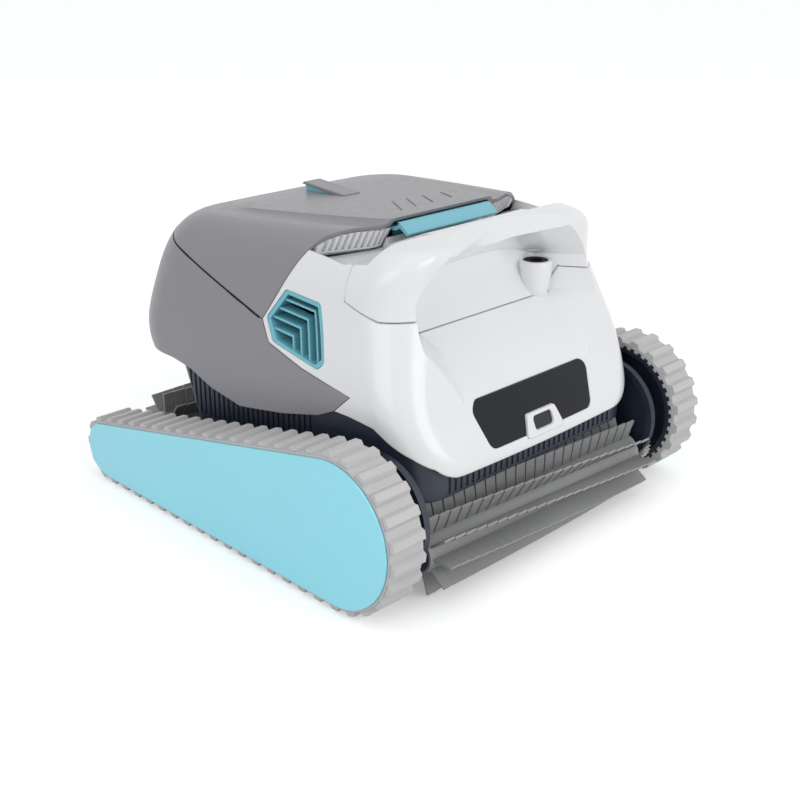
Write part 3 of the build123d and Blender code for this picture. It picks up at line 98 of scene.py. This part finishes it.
moulded_skin, skin_in, skin_out = new_group(
    "moulded_skin",
    {"Colour": "colour", "Shade spread": "value", "Roughness": "value", "Roughness spread": "value",
     "Grain per metre": "value", "Grain depth": "value", "Edge round": "value", "Edge wear": "value",
     "Hollow shade": "value"},
    {"Colour": "colour", "Roughness": "value", "Normal": "vector"})
cloud_per_metre, fleck_per_metre = 8.0, 160.0
hollow_reach = 0.012
worn_dull = 0.2
skin_place = shader_node(moulded_skin, "ShaderNodeTexCoord").outputs["Object"]
skin_cloud = shader_node(moulded_skin, "ShaderNodeTexNoise",
                         {"Vector": skin_place, "Scale": cloud_per_metre, "Detail": 5.0})
skin_fleck = shader_node(moulded_skin, "ShaderNodeTexNoise",
                         {"Vector": skin_place, "Scale": fleck_per_metre, "Detail": 4.0})
skin_grain = shader_node(moulded_skin, "ShaderNodeTexNoise",
                         {"Vector": skin_place, "Scale": skin_in["Grain per metre"], "Detail": 2.0})
skin_round = shader_node(moulded_skin, "ShaderNodeBevel", {"Radius": skin_in["Edge round"]}, samples=4)
skin_flat = shader_node(moulded_skin, "ShaderNodeNewGeometry").outputs["Normal"]
skin_turn = shader_node(moulded_skin, "ShaderNodeVectorMath", {0: skin_round.outputs[0], 1: skin_flat},
                        operation="DOT_PRODUCT").outputs["Value"]
skin_hollow = shader_node(moulded_skin, "ShaderNodeAmbientOcclusion", {"Distance": hollow_reach}, samples=4,
                          only_local=True)
skin_edge = spread(moulded_skin, skin_turn, 0.99, 0.8, 0.0, 1.0)
skin_patch = spread(moulded_skin, skin_fleck.outputs["Fac"], 0.42, 0.62, 0.0, 1.0)
skin_rub = calculated(moulded_skin, "MULTIPLY", skin_edge, skin_patch)
skin_worn = calculated(moulded_skin, "MULTIPLY", skin_rub, skin_in["Edge wear"])
# Painted shade: where ambient occlusion finds hollows within hollow_reach, the colour darkens towards a
# darker tone of itself.
skin_deep = spread(moulded_skin, skin_hollow.outputs["AO"], 0.25, 0.9, 1.0, 0.0)
skin_hollow_shade = calculated(moulded_skin, "MULTIPLY", skin_deep, skin_in["Hollow shade"])
skin_drift = spread(moulded_skin, skin_cloud.outputs["Fac"], 0.3, 0.7, -1.0, 1.0)
skin_shade = calculated(moulded_skin, "MULTIPLY_ADD", skin_drift, skin_in["Shade spread"], 1.0)
skin_toned = shader_node(moulded_skin, "ShaderNodeHueSaturation",
                         {"Color": skin_in["Colour"], "Value": skin_shade})
skin_pale = shader_node(moulded_skin, "ShaderNodeHueSaturation",
                        {"Color": skin_in["Colour"], "Saturation": 0.85, "Value": 1.3})
skin_rubbed = mixed(moulded_skin, skin_worn, skin_toned.outputs["Color"], skin_pale.outputs["Color"])
# Darker tone for the painted shade in hollows.
skin_shadowed = shader_node(moulded_skin, "ShaderNodeHueSaturation",
                        {"Color": skin_in["Colour"], "Saturation": 0.9, "Value": 0.45})
skin_hollow_shaded = mixed(moulded_skin, skin_hollow_shade, skin_rubbed, skin_shadowed.outputs["Color"])
moulded_skin.links.new(skin_hollow_shaded, skin_out["Colour"])
skin_speck = spread(moulded_skin, skin_fleck.outputs["Fac"], 0.3, 0.7, -1.0, 1.0)
skin_gloss = calculated(moulded_skin, "MULTIPLY_ADD", skin_speck, skin_in["Roughness spread"],
                        skin_in["Roughness"])
skin_dull = calculated(moulded_skin, "MULTIPLY_ADD", skin_worn, worn_dull, skin_gloss)
moulded_skin.links.new(skin_dull, skin_out["Roughness"])
skin_bump = shader_node(moulded_skin, "ShaderNodeBump",
                        {"Strength": 1.0, "Distance": skin_in["Grain depth"],
                         "Height": skin_grain.outputs["Fac"], "Normal": skin_round.outputs[0]})
moulded_skin.links.new(skin_bump.outputs[0], skin_out["Normal"])


# Each material sets how strongly its hollows darken: painted shade.
def moulded(name, colour, roughness, shade=0.03, gloss=0.03, grain=1500.0, depth=4e-6, edge=0.0006, wear=0.25,
            hollow_shade=0.0, shader=None):
    """Material of a moulding: the group gives colour, roughness and normal, the shader holds the rest."""
    material = bpy.data.materials.new(name)
    material.use_nodes = True
    tree = material.node_tree
    surface = tree.nodes["Principled BSDF"]
    group = shader_node(tree, "ShaderNodeGroup",
                        {"Colour": (*colour, 1.0), "Shade spread": shade, "Roughness": roughness,
                         "Roughness spread": gloss, "Grain per metre": grain, "Grain depth": depth,
                         "Edge round": edge, "Edge wear": wear, "Hollow shade": hollow_shade}, node_tree=moulded_skin)
    for socket, entry in (("Colour", "Base Color"), ("Roughness", "Roughness"), ("Normal", "Normal")):
        tree.links.new(group.outputs[socket], surface.inputs[entry])
    for entry, value in (shader or {}).items():
        surface.inputs[entry].default_value = value
    return material


body_of = {node: body for body, nodes in frame["record"]["behaviour"]["bodies"].items() for node in nodes}
crease = radians(28.0)


def dressed(material, *nodes):
    """Smooth copies of solids: triangles joined at equal points, sharp where faces turn past the crease."""
    for node in nodes:
        source = frame["nodes"][node].data
        points = np.empty(len(source.vertices) * 3, np.float32)
        source.vertices.foreach_get("co", points)
        corners = np.empty(len(source.loops), np.int32)
        source.loops.foreach_get("vertex_index", corners)
        kept, place = np.unique(points.reshape(-1, 3).round(6), axis=0, return_inverse=True)
        faces = place.reshape(-1)[corners].reshape(-1, 3)
        whole = (faces[:, 0] != faces[:, 1]) & (faces[:, 1] != faces[:, 2]) & (faces[:, 0] != faces[:, 2])
        mesh = bpy.data.meshes.new(node + "_skin")
        mesh.from_pydata(kept, [], faces[whole])
        mesh.shade_smooth()
        mesh.set_sharp_from_angle(angle=crease)
        mesh.materials.append(material)
        piece = bpy.data.objects.new(node + "_skin", mesh)
        bpy.context.scene.collection.objects.link(piece)
        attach(piece, body_of[node])
        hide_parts(node)


navy = moulded("navy", (0.016, 0.023, 0.041), 0.42, shade=0.12, gloss=0.06, grain=1600.0, depth=8e-6,
               edge=0.0008, wear=0.45, hollow_shade=0.2, shader={"Coat Weight": 0.05, "Coat Roughness": 0.3})
dressed(navy, "chassis", "left_side_frame", "right_side_frame")

# Motor unit, pump duct and intake flaps
# Plain grey plastic mouldings inside the tub, as they leave the mould.
# The motor case is closed by a cover on a black rubber ring and four screws.

inner_grey = moulded("inner_grey", (0.16, 0.165, 0.175), 0.5, shade=0.06, grain=1300.0, depth=1e-5, wear=0.35,
                     hollow_shade=0.25)
soft_black = moulded("soft_black", (0.006, 0.006, 0.0065), 0.6, shade=0.15, grain=1800.0, depth=1e-5,
                     wear=0.3, shader={"Specular IOR Level": 0.25})
dressed(inner_grey, "motor_housing", "motor_cover", "control_box", "pump_duct", "left_intake_flap",
        "right_intake_flap")
dressed(soft_black, "motor_seal")

# Gears and bushes
# Natural white bearing plastic: the drive train's gears, the pump's impeller and the plain bushes.
# Moulded to size and pressed on their shafts or into their seats.

bearing_white = moulded("bearing_white", (0.62, 0.60, 0.54), 0.45, shade=0.04, grain=1200.0, depth=6e-6,
                        wear=0.3, hollow_shade=0.3)
dressed(bearing_white, "left_drive_gear", "right_drive_gear", "brush_pinion", "left_motor_pinion",
        "right_motor_pinion", "impeller", "drive_bushes", "idler_bushes", "brush_bushes")

# Pins, screws and shafts
# Bright stainless steel, turned from bar.
# The pins are pressed in, the screws hold frames and motor cover, the shafts carry pinions and impeller.

bright_steel = moulded("bright_steel", (0.60, 0.60, 0.61), 0.25, shade=0.05, gloss=0.08, grain=2500.0,
                       depth=4e-6, wear=0.2, shader={"Metallic": 1.0})
dressed(bright_steel, "lid_hinge_pin", "flap_pins", "frame_screws", "motor_screws", "left_motor_shaft",
        "right_motor_shaft", "impeller_shaft")

# Wheels and rollers
# Navy plastic mouldings that carry the tracks, three at each side.
# They turn on the side frames' axles, the two large ones on plain bushes.

dressed(navy, "left_drive_pulley", "right_drive_pulley", "left_idler", "right_idler", "left_roller",
        "right_roller")

# Tracks
# Light grey rubber loops with cross bars outside and teeth inside.
# Each is moulded in one piece and stretched over the wheels of its side.

track_grey = moulded("track_grey", (0.535, 0.527, 0.530), 0.6, shade=0.05, gloss=0.08, grain=1400.0,
                     depth=2e-5, edge=0.0010, wear=0.25, hollow_shade=0.45)
dressed(track_grey, "left_track", "right_track")

# Side panels
# Flat covers of turquoise plastic inside the track loops, one at each side.
# Injection moulded and clipped on the side frames.

panel_turquoise = moulded("panel_turquoise", (0.30, 0.77, 0.90), 0.3, shade=0.02, gloss=0.02, grain=70.0,
                          depth=1.2e-5, edge=0.0008, wear=0.4,
                          shader={"Coat Weight": 0.15, "Coat Roughness": 0.15})
dressed(panel_turquoise, "left_side_panel", "right_side_panel")

# Brushes
# Grey soft sleeves with rows of flaps, at the front and the rear.
# Each sleeve is moulded in one piece and pushed on a hollow navy roll.

flap_grey = moulded("flap_grey", (0.30, 0.302, 0.305), 0.5, shade=0.08, gloss=0.08, grain=1500.0, depth=1e-5,
                    edge=0.0005, wear=0.5, hollow_shade=0.35)
dressed(flap_grey, "front_brush_sleeve", "rear_brush_sleeve")
dressed(navy, "front_brush_core", "rear_brush_core")

# Front shell and handle cover
# Two glossy white mouldings that meet at a thin open line round the handle bar.
# Injection moulded, polished mould, held from inside by hidden screws.

white_gloss = moulded("white_gloss", (0.80, 0.805, 0.815), 0.24, shade=0.01, gloss=0.03, grain=80.0,
                      depth=8e-6, edge=0.0012, wear=0.1, shader={"Coat Weight": 0.35, "Coat Roughness": 0.08})
dressed(white_gloss, "front_shell", "handle_cover")

# Window, its white sensor bezel and the lens
# A tinted gloss sheet set flush in the shell, with a moulded frame pushed through it.
# The lens is a dark clear plastic block bonded in the frame.

window_gloss = moulded("window_gloss", (0.014, 0.015, 0.017), 0.2, shade=0.1, gloss=0.03, grain=300.0,
                       depth=1.5e-6, edge=0.0008, wear=0.2, shader={"Specular IOR Level": 0.2})
lens_gloss = moulded("lens_gloss", (0.016, 0.018, 0.024), 0.1, shade=0.15, gloss=0.02, grain=200.0,
                     depth=1e-6, edge=0.0015, wear=0.1,
                     shader={"Specular IOR Level": 0.3, "Coat Weight": 0.2, "Coat Roughness": 0.02})
dressed(window_gloss, "front_window")
dressed(white_gloss, "sensor_bezel")
dressed(lens_gloss, "sensor_lens")

# Side vents
# Turquoise louvre cassettes, four bent blades in a deep rim, clipped into the shell from inside.
# The blades lie in shade, and painted shade darkens their hollows further.

vent_turquoise = moulded("vent_turquoise", (0.16, 0.50, 0.60), 0.28, shade=0.03, grain=120.0, depth=6e-6,
                         edge=0.0008, wear=0.25, hollow_shade=0.55,
                         shader={"Coat Weight": 0.2, "Coat Roughness": 0.15})
dressed(vent_turquoise, "left_vent", "right_vent")

# Cable gland and its cup
# Black rubber sleeve pressed into a white cup under the handle bar.
# The cup is moulded with the handle cover: a rounded rim over a foot that tapers into the wall.

dressed(soft_black, "cable_gland")
gland_low, gland_high = (np.array(corner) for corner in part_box("cable_gland"))
cup_axis = (gland_low + gland_high) / 2
cup_turns = 72
cup_rim = [[0.0111, -0.0017], [0.0112, 0.0001], [0.0118, 0.0006], [0.0132, 0.0007], [0.0145, 0.0002],
           [0.0152, -0.0010]]
cup_taper = [[0.0150, -0.0050], [0.0144, -0.0120], [0.0136, -0.0180], [0.0129, -0.0240], [0.0117, -0.0290],
             [0.0092, -0.0340], [0.0058, -0.0380], [0.0025, -0.0405]]
cup_inside = [[0.0020, -0.0398], [0.0052, -0.0373], [0.0085, -0.0334], [0.0110, -0.0285], [0.0122, -0.0237],
              [0.0129, -0.0178], [0.0137, -0.0119], [0.0143, -0.0049], [0.0144, -0.0022]]
cup_rings = np.array(cup_rim + cup_taper + cup_inside)


def piece_of(name, points, faces, material, body):
    """New piece from arrays of points and faces, smooth, riding a body."""
    mesh = bpy.data.meshes.new(name)
    mesh.from_pydata(points, [], faces)
    mesh.shade_smooth()
    mesh.materials.append(material)
    piece = bpy.data.objects.new(name, mesh)
    bpy.context.scene.collection.objects.link(piece)
    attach(piece, body)
    return piece


def wrapped_faces(rows, columns):
    """Quads of a grid that closes on itself both ways, as a ring does."""
    place = np.arange(rows * columns).reshape(rows, columns)
    below, beside = np.roll(place, -1, axis=0), np.roll(place, -1, axis=1)
    return np.stack([place, below, np.roll(below, -1, axis=1), beside], axis=-1).reshape(-1, 4)


def turned_cup(rings, turns):
    """Each ring's radius carried round the gland's upright axis, its height counted from the gland's top."""
    turn = np.linspace(0.0, 2.0 * np.pi, turns, endpoint=False)[None, :]
    x = cup_axis[0] + rings[:, :1] * np.cos(turn)
    y = cup_axis[1] + rings[:, :1] * np.sin(turn)
    z = np.broadcast_to(gland_high[2] + rings[:, 1:], x.shape)
    return np.stack([x, y, z], axis=-1).reshape(-1, 3)


cup_faces = wrapped_faces(len(cup_rings), cup_turns)
piece_of("gland_cup", turned_cup(cup_rings, cup_turns), cup_faces, white_gloss, "base")

# Outlet combs and the sheets behind them
# White plastic ribs under the lid's front edge; a strip half way in closes the slots, so that they look pale.
# Each strip is moulded with its comb and leans forward with the lid's edge, up to the latch.

dressed(white_gloss, "left_outlet_comb", "right_outlet_comb")
comb_ends = (0.0572, 0.1195)
comb_low = 0.2470
comb_top_x = [0.057, 0.0640, 0.0648, 0.080, 0.104, 0.112, 0.120]
comb_top_z = [0.2662, 0.2664, 0.2692, 0.2674, 0.2655, 0.2623, 0.2586]
edge_plan_x = [0.064, 0.074, 0.118, 0.121]
edge_plan_y = [-0.045, -0.045, -0.027, -0.027]
edge_plan_z = 0.235
edge_lean = 0.57
sheet_back = 0.0012
sheet_thick = 0.0006
sheet_rows, sheet_columns = 8, 80


def grid_faces(rows, columns):
    """Quads of a grid of points, row by row."""
    first = (np.arange(rows - 1)[:, None] * columns + np.arange(columns - 1)[None, :]).reshape(-1)
    return np.stack([first, first + 1, first + columns + 1, first + columns], axis=-1)


def comb_sheet(side, columns, rows):
    """Sheet along the lid's edge line in plan, leaning forward as it rises from comb_low to the top line."""
    across = np.linspace(*comb_ends, columns)[None, :]
    up = np.linspace(0.0, 1.0, rows)[:, None]
    z = comb_low + (np.interp(across, comb_top_x, comb_top_z) - comb_low) * up
    y = np.interp(across, edge_plan_x, edge_plan_y) + sheet_back - edge_lean * (z - edge_plan_z)
    return np.stack([side * np.broadcast_to(across, z.shape), y, z], axis=-1).reshape(-1, 3)


for comb_side, comb_name in ((-1.0, "left_comb_sheet"), (1.0, "right_comb_sheet")):
    comb_faces = grid_faces(sheet_rows, sheet_columns)
    comb_faces = comb_faces[:, ::-1] if comb_side < 0 else comb_faces
    comb_points = comb_sheet(comb_side, sheet_columns, sheet_rows)
    sheet = piece_of(comb_name, comb_points, comb_faces, white_gloss, "base")
    sheet.modifiers.new("thick", "SOLIDIFY").thickness = sheet_thick

# Rear skirt and filter lid
# Satin grey mouldings with a fine spark texture; the lid turns on a steel pin at the rear.
# A shadow line runs where the two meet.

satin_grey = moulded("satin_grey", (0.250, 0.246, 0.266), 0.38, shade=0.012, gloss=0.05, grain=2600.0,
                     depth=4e-6, edge=0.0010, wear=0.3, shader={"Coat Weight": 0.08, "Coat Roughness": 0.3})
dressed(satin_grey, "rear_skirt", "filter_lid")

# Painted shadow line between the skirt and the lid
# A black strip along the skirt's upper edge, with a half round back, stands in for the shadow at the seam:
# painted shadow.
# It runs along both sides and round the rear corners, short of the hinge.

skirt_mesh = frame["nodes"]["rear_skirt"].data
skirt_points = np.empty(len(skirt_mesh.vertices) * 3, np.float32)
skirt_mesh.vertices.foreach_get("co", skirt_points)
skirt_points = skirt_points.reshape(-1, 3).astype(float)
seam_height, seam_rise, seam_middle = 0.19666, 0.325, 0.06
seam_near = 5e-5
shadow_span = (radians(32.0), radians(112.0))
shadow_steps = 120
band_step = radians(4.0)
bands_each_way = 60
wall_less = 0.0012
shadow_profile = np.array([[-0.0008, -0.0009], [0.0001, -0.0010], [0.0004, -0.0006], [0.0004, -0.0001],
                      [0.0001, 0.0003], [-0.0008, 0.0004]])


def capped_faces(rows, columns, turned=False):
    """Quads between closed rings and one face at each end; turned round where the path runs the other way."""
    bar = wrapped_faces(rows, columns)[:(rows - 1) * columns].tolist()
    bar += [list(range(columns)), list(range(rows * columns - 1, (rows - 1) * columns - 1, -1))]
    return [face[::-1] for face in bar] if turned else bar


def seam_shadow_strip(side, steps):
    """Painted shadow profile carried along the skirt's outer edge, its furthest point at each angle in plan.
    """
    on_seam = np.abs(skirt_points[:, 2] - seam_height - seam_rise * skirt_points[:, 1]) < seam_near
    edge = skirt_points[on_seam]
    angle = np.arctan2(side * edge[:, 0], edge[:, 1] - seam_middle)
    reach = np.hypot(edge[:, 0], edge[:, 1] - seam_middle)
    band = np.round(angle / band_step).astype(int) + bands_each_way
    furthest = np.zeros(2 * bands_each_way + 1)
    np.maximum.at(furthest, band, reach)
    outer = np.flatnonzero(reach > furthest[band] - wall_less)
    outer = outer[np.argsort(angle[outer])]
    turn = np.linspace(*shadow_span, steps)
    far = np.interp(turn, angle[outer], reach[outer])
    out = far[:, None] + shadow_profile[None, :, 0]
    x = side * np.sin(turn)[:, None] * out
    y = seam_middle + np.cos(turn)[:, None] * out
    z = seam_height + seam_rise * (seam_middle + np.cos(turn) * far)[:, None] + shadow_profile[None, :, 1]
    return np.stack([x, y, z], axis=-1).reshape(-1, 3)


# Black strips of painted shadow along the seam, one at each side.
for shadow_side, shadow_name in ((-1.0, "left_seam_shadow"), (1.0, "right_seam_shadow")):
    shadow_faces = capped_faces(shadow_steps, len(shadow_profile), turned=shadow_side > 0)
    piece_of(shadow_name, seam_shadow_strip(shadow_side, shadow_steps), shadow_faces, soft_black, "base")

# Latch tab and the second tab at the rear of the lid
# Turquoise mouldings: the front one slides back against a spring, the rear one sits under a small grey roof.
# The front tab has a thin rounded lip along its edge for a finger.

tab_turquoise = moulded("tab_turquoise", (0.19, 0.51, 0.61), 0.26, shade=0.02, grain=120.0, depth=6e-6,
                        edge=0.0010, wear=0.04, hollow_shade=0.3, shader={"Coat Weight": 0.3, "Coat Roughness": 0.1})
dressed(tab_turquoise, "lid_latch", "lid_insert")
lip_inset = 0.0005
lip_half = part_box("lid_latch")[1][0] - lip_inset
lip_columns = 81
lip_end, lip_end_slope = 0.67, 20.0
lip_profile = np.array([[-0.0706, 0.2709], [-0.0704, 0.2716], [-0.0698, 0.2719], [-0.0664, 0.2716],
                        [-0.0664, 0.2706], [-0.0698, 0.2704]])


def latch_lip(columns):
    """Lip profile in the side view carried across the latch, drawn in to two thirds at both ends."""
    across = np.linspace(-1.0, 1.0, columns)[:, None]
    middle = lip_profile.mean(axis=0)
    shrink = np.minimum(1.0, lip_end + (1.0 - np.abs(across)) * lip_end_slope)
    y = middle[0] + (lip_profile[None, :, 0] - middle[0]) * shrink
    z = middle[1] + (lip_profile[None, :, 1] - middle[1]) * shrink
    return np.stack([np.broadcast_to(across * lip_half, y.shape), y, z], axis=-1).reshape(-1, 3)


lip_faces = capped_faces(lip_columns, len(lip_profile))
piece_of("latch_lip", latch_lip(lip_columns), lip_faces, tab_turquoise, "latch")

# Four slanted marks on the lid's front
# Shallow lines in the grey lid holding shade, painted as one dark strip each with pointed ends.
# They come out of the lid's own mould.

lid_marks = np.array([[-0.0045, -0.0090, -0.0303, -0.0474], [0.0127, -0.0093, -0.0107, -0.0448],
                      [0.0312, -0.0112, 0.0108, -0.0444], [0.0510, -0.0148, 0.0376, -0.0421]])
mark_half = 0.00045
mark_rows, mark_columns = 13, 3
lid_top, lid_tilt = 0.271, radians(3.8)
mark_proud, mark_thick = 0.00004, 0.0004
mark_blunt = 1e-4


def mark_strip(start_x, start_y, end_x, end_y):
    """Flat strip on the lid's top plane; its half width is mark_half times the root of a half sine wave."""
    along = np.linspace(0.0, 1.0, mark_rows)[:, None]
    side = np.linspace(-1.0, 1.0, mark_columns)[None, :]
    length = np.hypot(end_x - start_x, end_y - start_y)
    wide = mark_half * np.sqrt(np.sin(np.pi * along) + mark_blunt) * side
    x = start_x + (end_x - start_x) * along - (end_y - start_y) / length * wide
    y = start_y + (end_y - start_y) * along + (end_x - start_x) / length * wide
    z = lid_top - np.tan(lid_tilt) * y + mark_proud
    return np.stack([x, y, z], axis=-1).reshape(-1, 3)


# Painted shade of the grooves: a dark material on flat strips.
groove_painted_shade = moulded("groove_painted_shade", (0.10, 0.098, 0.108), 0.5, shade=0.1, grain=2000.0, depth=4e-6)
mark_points = np.concatenate([mark_strip(*mark) for mark in lid_marks])
mark_quads = grid_faces(mark_rows, mark_columns)
mark_faces = np.concatenate([mark_quads + mark_rows * mark_columns * i for i in range(len(lid_marks))])
marks = piece_of("lid_marks", mark_points, mark_faces, groove_painted_shade, "lid")
marks.modifiers.new("sunk", "SOLIDIFY").thickness = mark_thick

# Filter basket, its panels and the lid's float
# A grey plastic frame that lifts out, with sheets of fine woven mesh welded into it.
# The float is a slab of closed-cell foam that is glued under the lid.

float_cream = moulded("float_cream", (0.70, 0.68, 0.62), 0.85, shade=0.05, grain=900.0, depth=6e-5, wear=0.1)
mesh_blue = moulded("mesh_blue", (0.10, 0.22, 0.34), 0.7, shade=0.06, grain=1100.0, depth=8e-5, wear=0.1)
dressed(inner_grey, "filter_basket")
dressed(mesh_blue, "filter_panels")
dressed(float_cream, "lid_float")

# Floor, light and camera
# A pale studio floor under an even dome, two soft boxes at the left and the front and a very soft sun.
# The camera stands at the front left, a little above; the floor and the sky look white to it.

floor_reach = 40.0
floor_corners = floor_reach * np.array([[-1, -1, 0], [1, -1, 0], [1, 1, 0], [-1, 1, 0]])
floor_mesh = bpy.data.meshes.new("studio_floor")
floor_mesh.from_pydata(floor_corners, [], [(0, 1, 2, 3)])
studio_floor = bpy.data.objects.new("studio_floor", floor_mesh)
bpy.context.scene.collection.objects.link(studio_floor)
white = (1.0, 1.0, 1.0, 1.0)


def looked_at(tree):
    """1 where the camera, a reflection or a clear piece looks, 0 for light on its way to the object."""
    path = shader_node(tree, "ShaderNodeLightPath").outputs
    direct = calculated(tree, "MAXIMUM", path["Is Camera Ray"], path["Is Glossy Ray"])
    return calculated(tree, "MAXIMUM", direct, path["Is Transmission Ray"])


floor_paint = bpy.data.materials.new("floor_paint")
floor_paint.use_nodes = True
floor_tree = floor_paint.node_tree
floor_tree.nodes.clear()
floor_pale = shader_node(floor_tree, "ShaderNodeBsdfDiffuse", {"Color": (0.80, 0.80, 0.80, 1.0)}).outputs[0]
floor_white = shader_node(floor_tree, "ShaderNodeBsdfDiffuse", {"Color": white}).outputs[0]
floor_glow = shader_node(floor_tree, "ShaderNodeEmission", {"Color": white, "Strength": 0.28}).outputs[0]
floor_seen = shader_node(floor_tree, "ShaderNodeAddShader", {0: floor_white, 1: floor_glow}).outputs[0]
floor_mix = shader_node(floor_tree, "ShaderNodeMixShader",
                        {0: looked_at(floor_tree), 1: floor_pale, 2: floor_seen})
shader_node(floor_tree, "ShaderNodeOutputMaterial", {"Surface": floor_mix.outputs[0]})
floor_mesh.materials.append(floor_paint)

world = bpy.data.worlds.new("studio")
bpy.context.scene.world = world
world.use_nodes = True
sky = world.node_tree
sky.nodes.clear()
dome = shader_node(sky, "ShaderNodeBackground",
                   {"Color": (0.97, 0.985, 1.0, 1.0), "Strength": 0.58}).outputs[0]
backdrop = shader_node(sky, "ShaderNodeBackground", {"Color": white, "Strength": 1.0}).outputs[0]
shown_sky = shader_node(sky, "ShaderNodeMixShader", {0: looked_at(sky), 1: dome, 2: backdrop}).outputs[0]
shader_node(sky, "ShaderNodeOutputWorld", {"Surface": shown_sky})

lamp_aim = (0.0, 0.0, 0.12)
box_size = 1.2


def soft_box(name, place, watts):
    """Square soft box at a place, turned to the object's middle."""
    data = bpy.data.lights.new(name, "AREA")
    data.size = box_size
    data.energy = watts
    lamp = bpy.data.objects.new(name, data)
    lamp.location = place
    lamp.rotation_mode = "QUATERNION"
    lamp.rotation_quaternion = (Vector(lamp_aim) - Vector(place)).to_track_quat("-Z", "Y")
    bpy.context.scene.collection.objects.link(lamp)


soft_box("left_box", (-1.7, -0.5, 0.9), 6.0)
soft_box("front_box", (0.3, -1.9, 0.9), 11.5)

sun_data = bpy.data.lights.new("soft_sun", "SUN")
sun_data.energy = 0.45
sun_data.angle = radians(70.0)
soft_sun = bpy.data.objects.new("soft_sun", sun_data)
soft_sun.rotation_mode = "QUATERNION"
soft_sun.rotation_quaternion = Vector((0.22, -0.12, -1.0)).to_track_quat("-Z", "Y")
bpy.context.scene.collection.objects.link(soft_sun)

camera_data = bpy.data.cameras.new("camera")
camera_data.lens = 53.06
camera_data.sensor_width = 36.0
camera = bpy.data.objects.new("camera", camera_data)
camera_turn = Matrix(((0.7095, 0.2674, -0.6520), (-0.7047, 0.2692, -0.6565), (0.0, 0.9252, 0.3795)))
camera.rotation_mode = "QUATERNION"
camera.rotation_quaternion = camera_turn.to_quaternion()
camera.location = (-0.7249, -0.7444, 0.5040)
bpy.context.scene.collection.objects.link(camera)
bpy.context.scene.camera = camera
bpy.context.scene.view_settings.view_transform = "Standard"
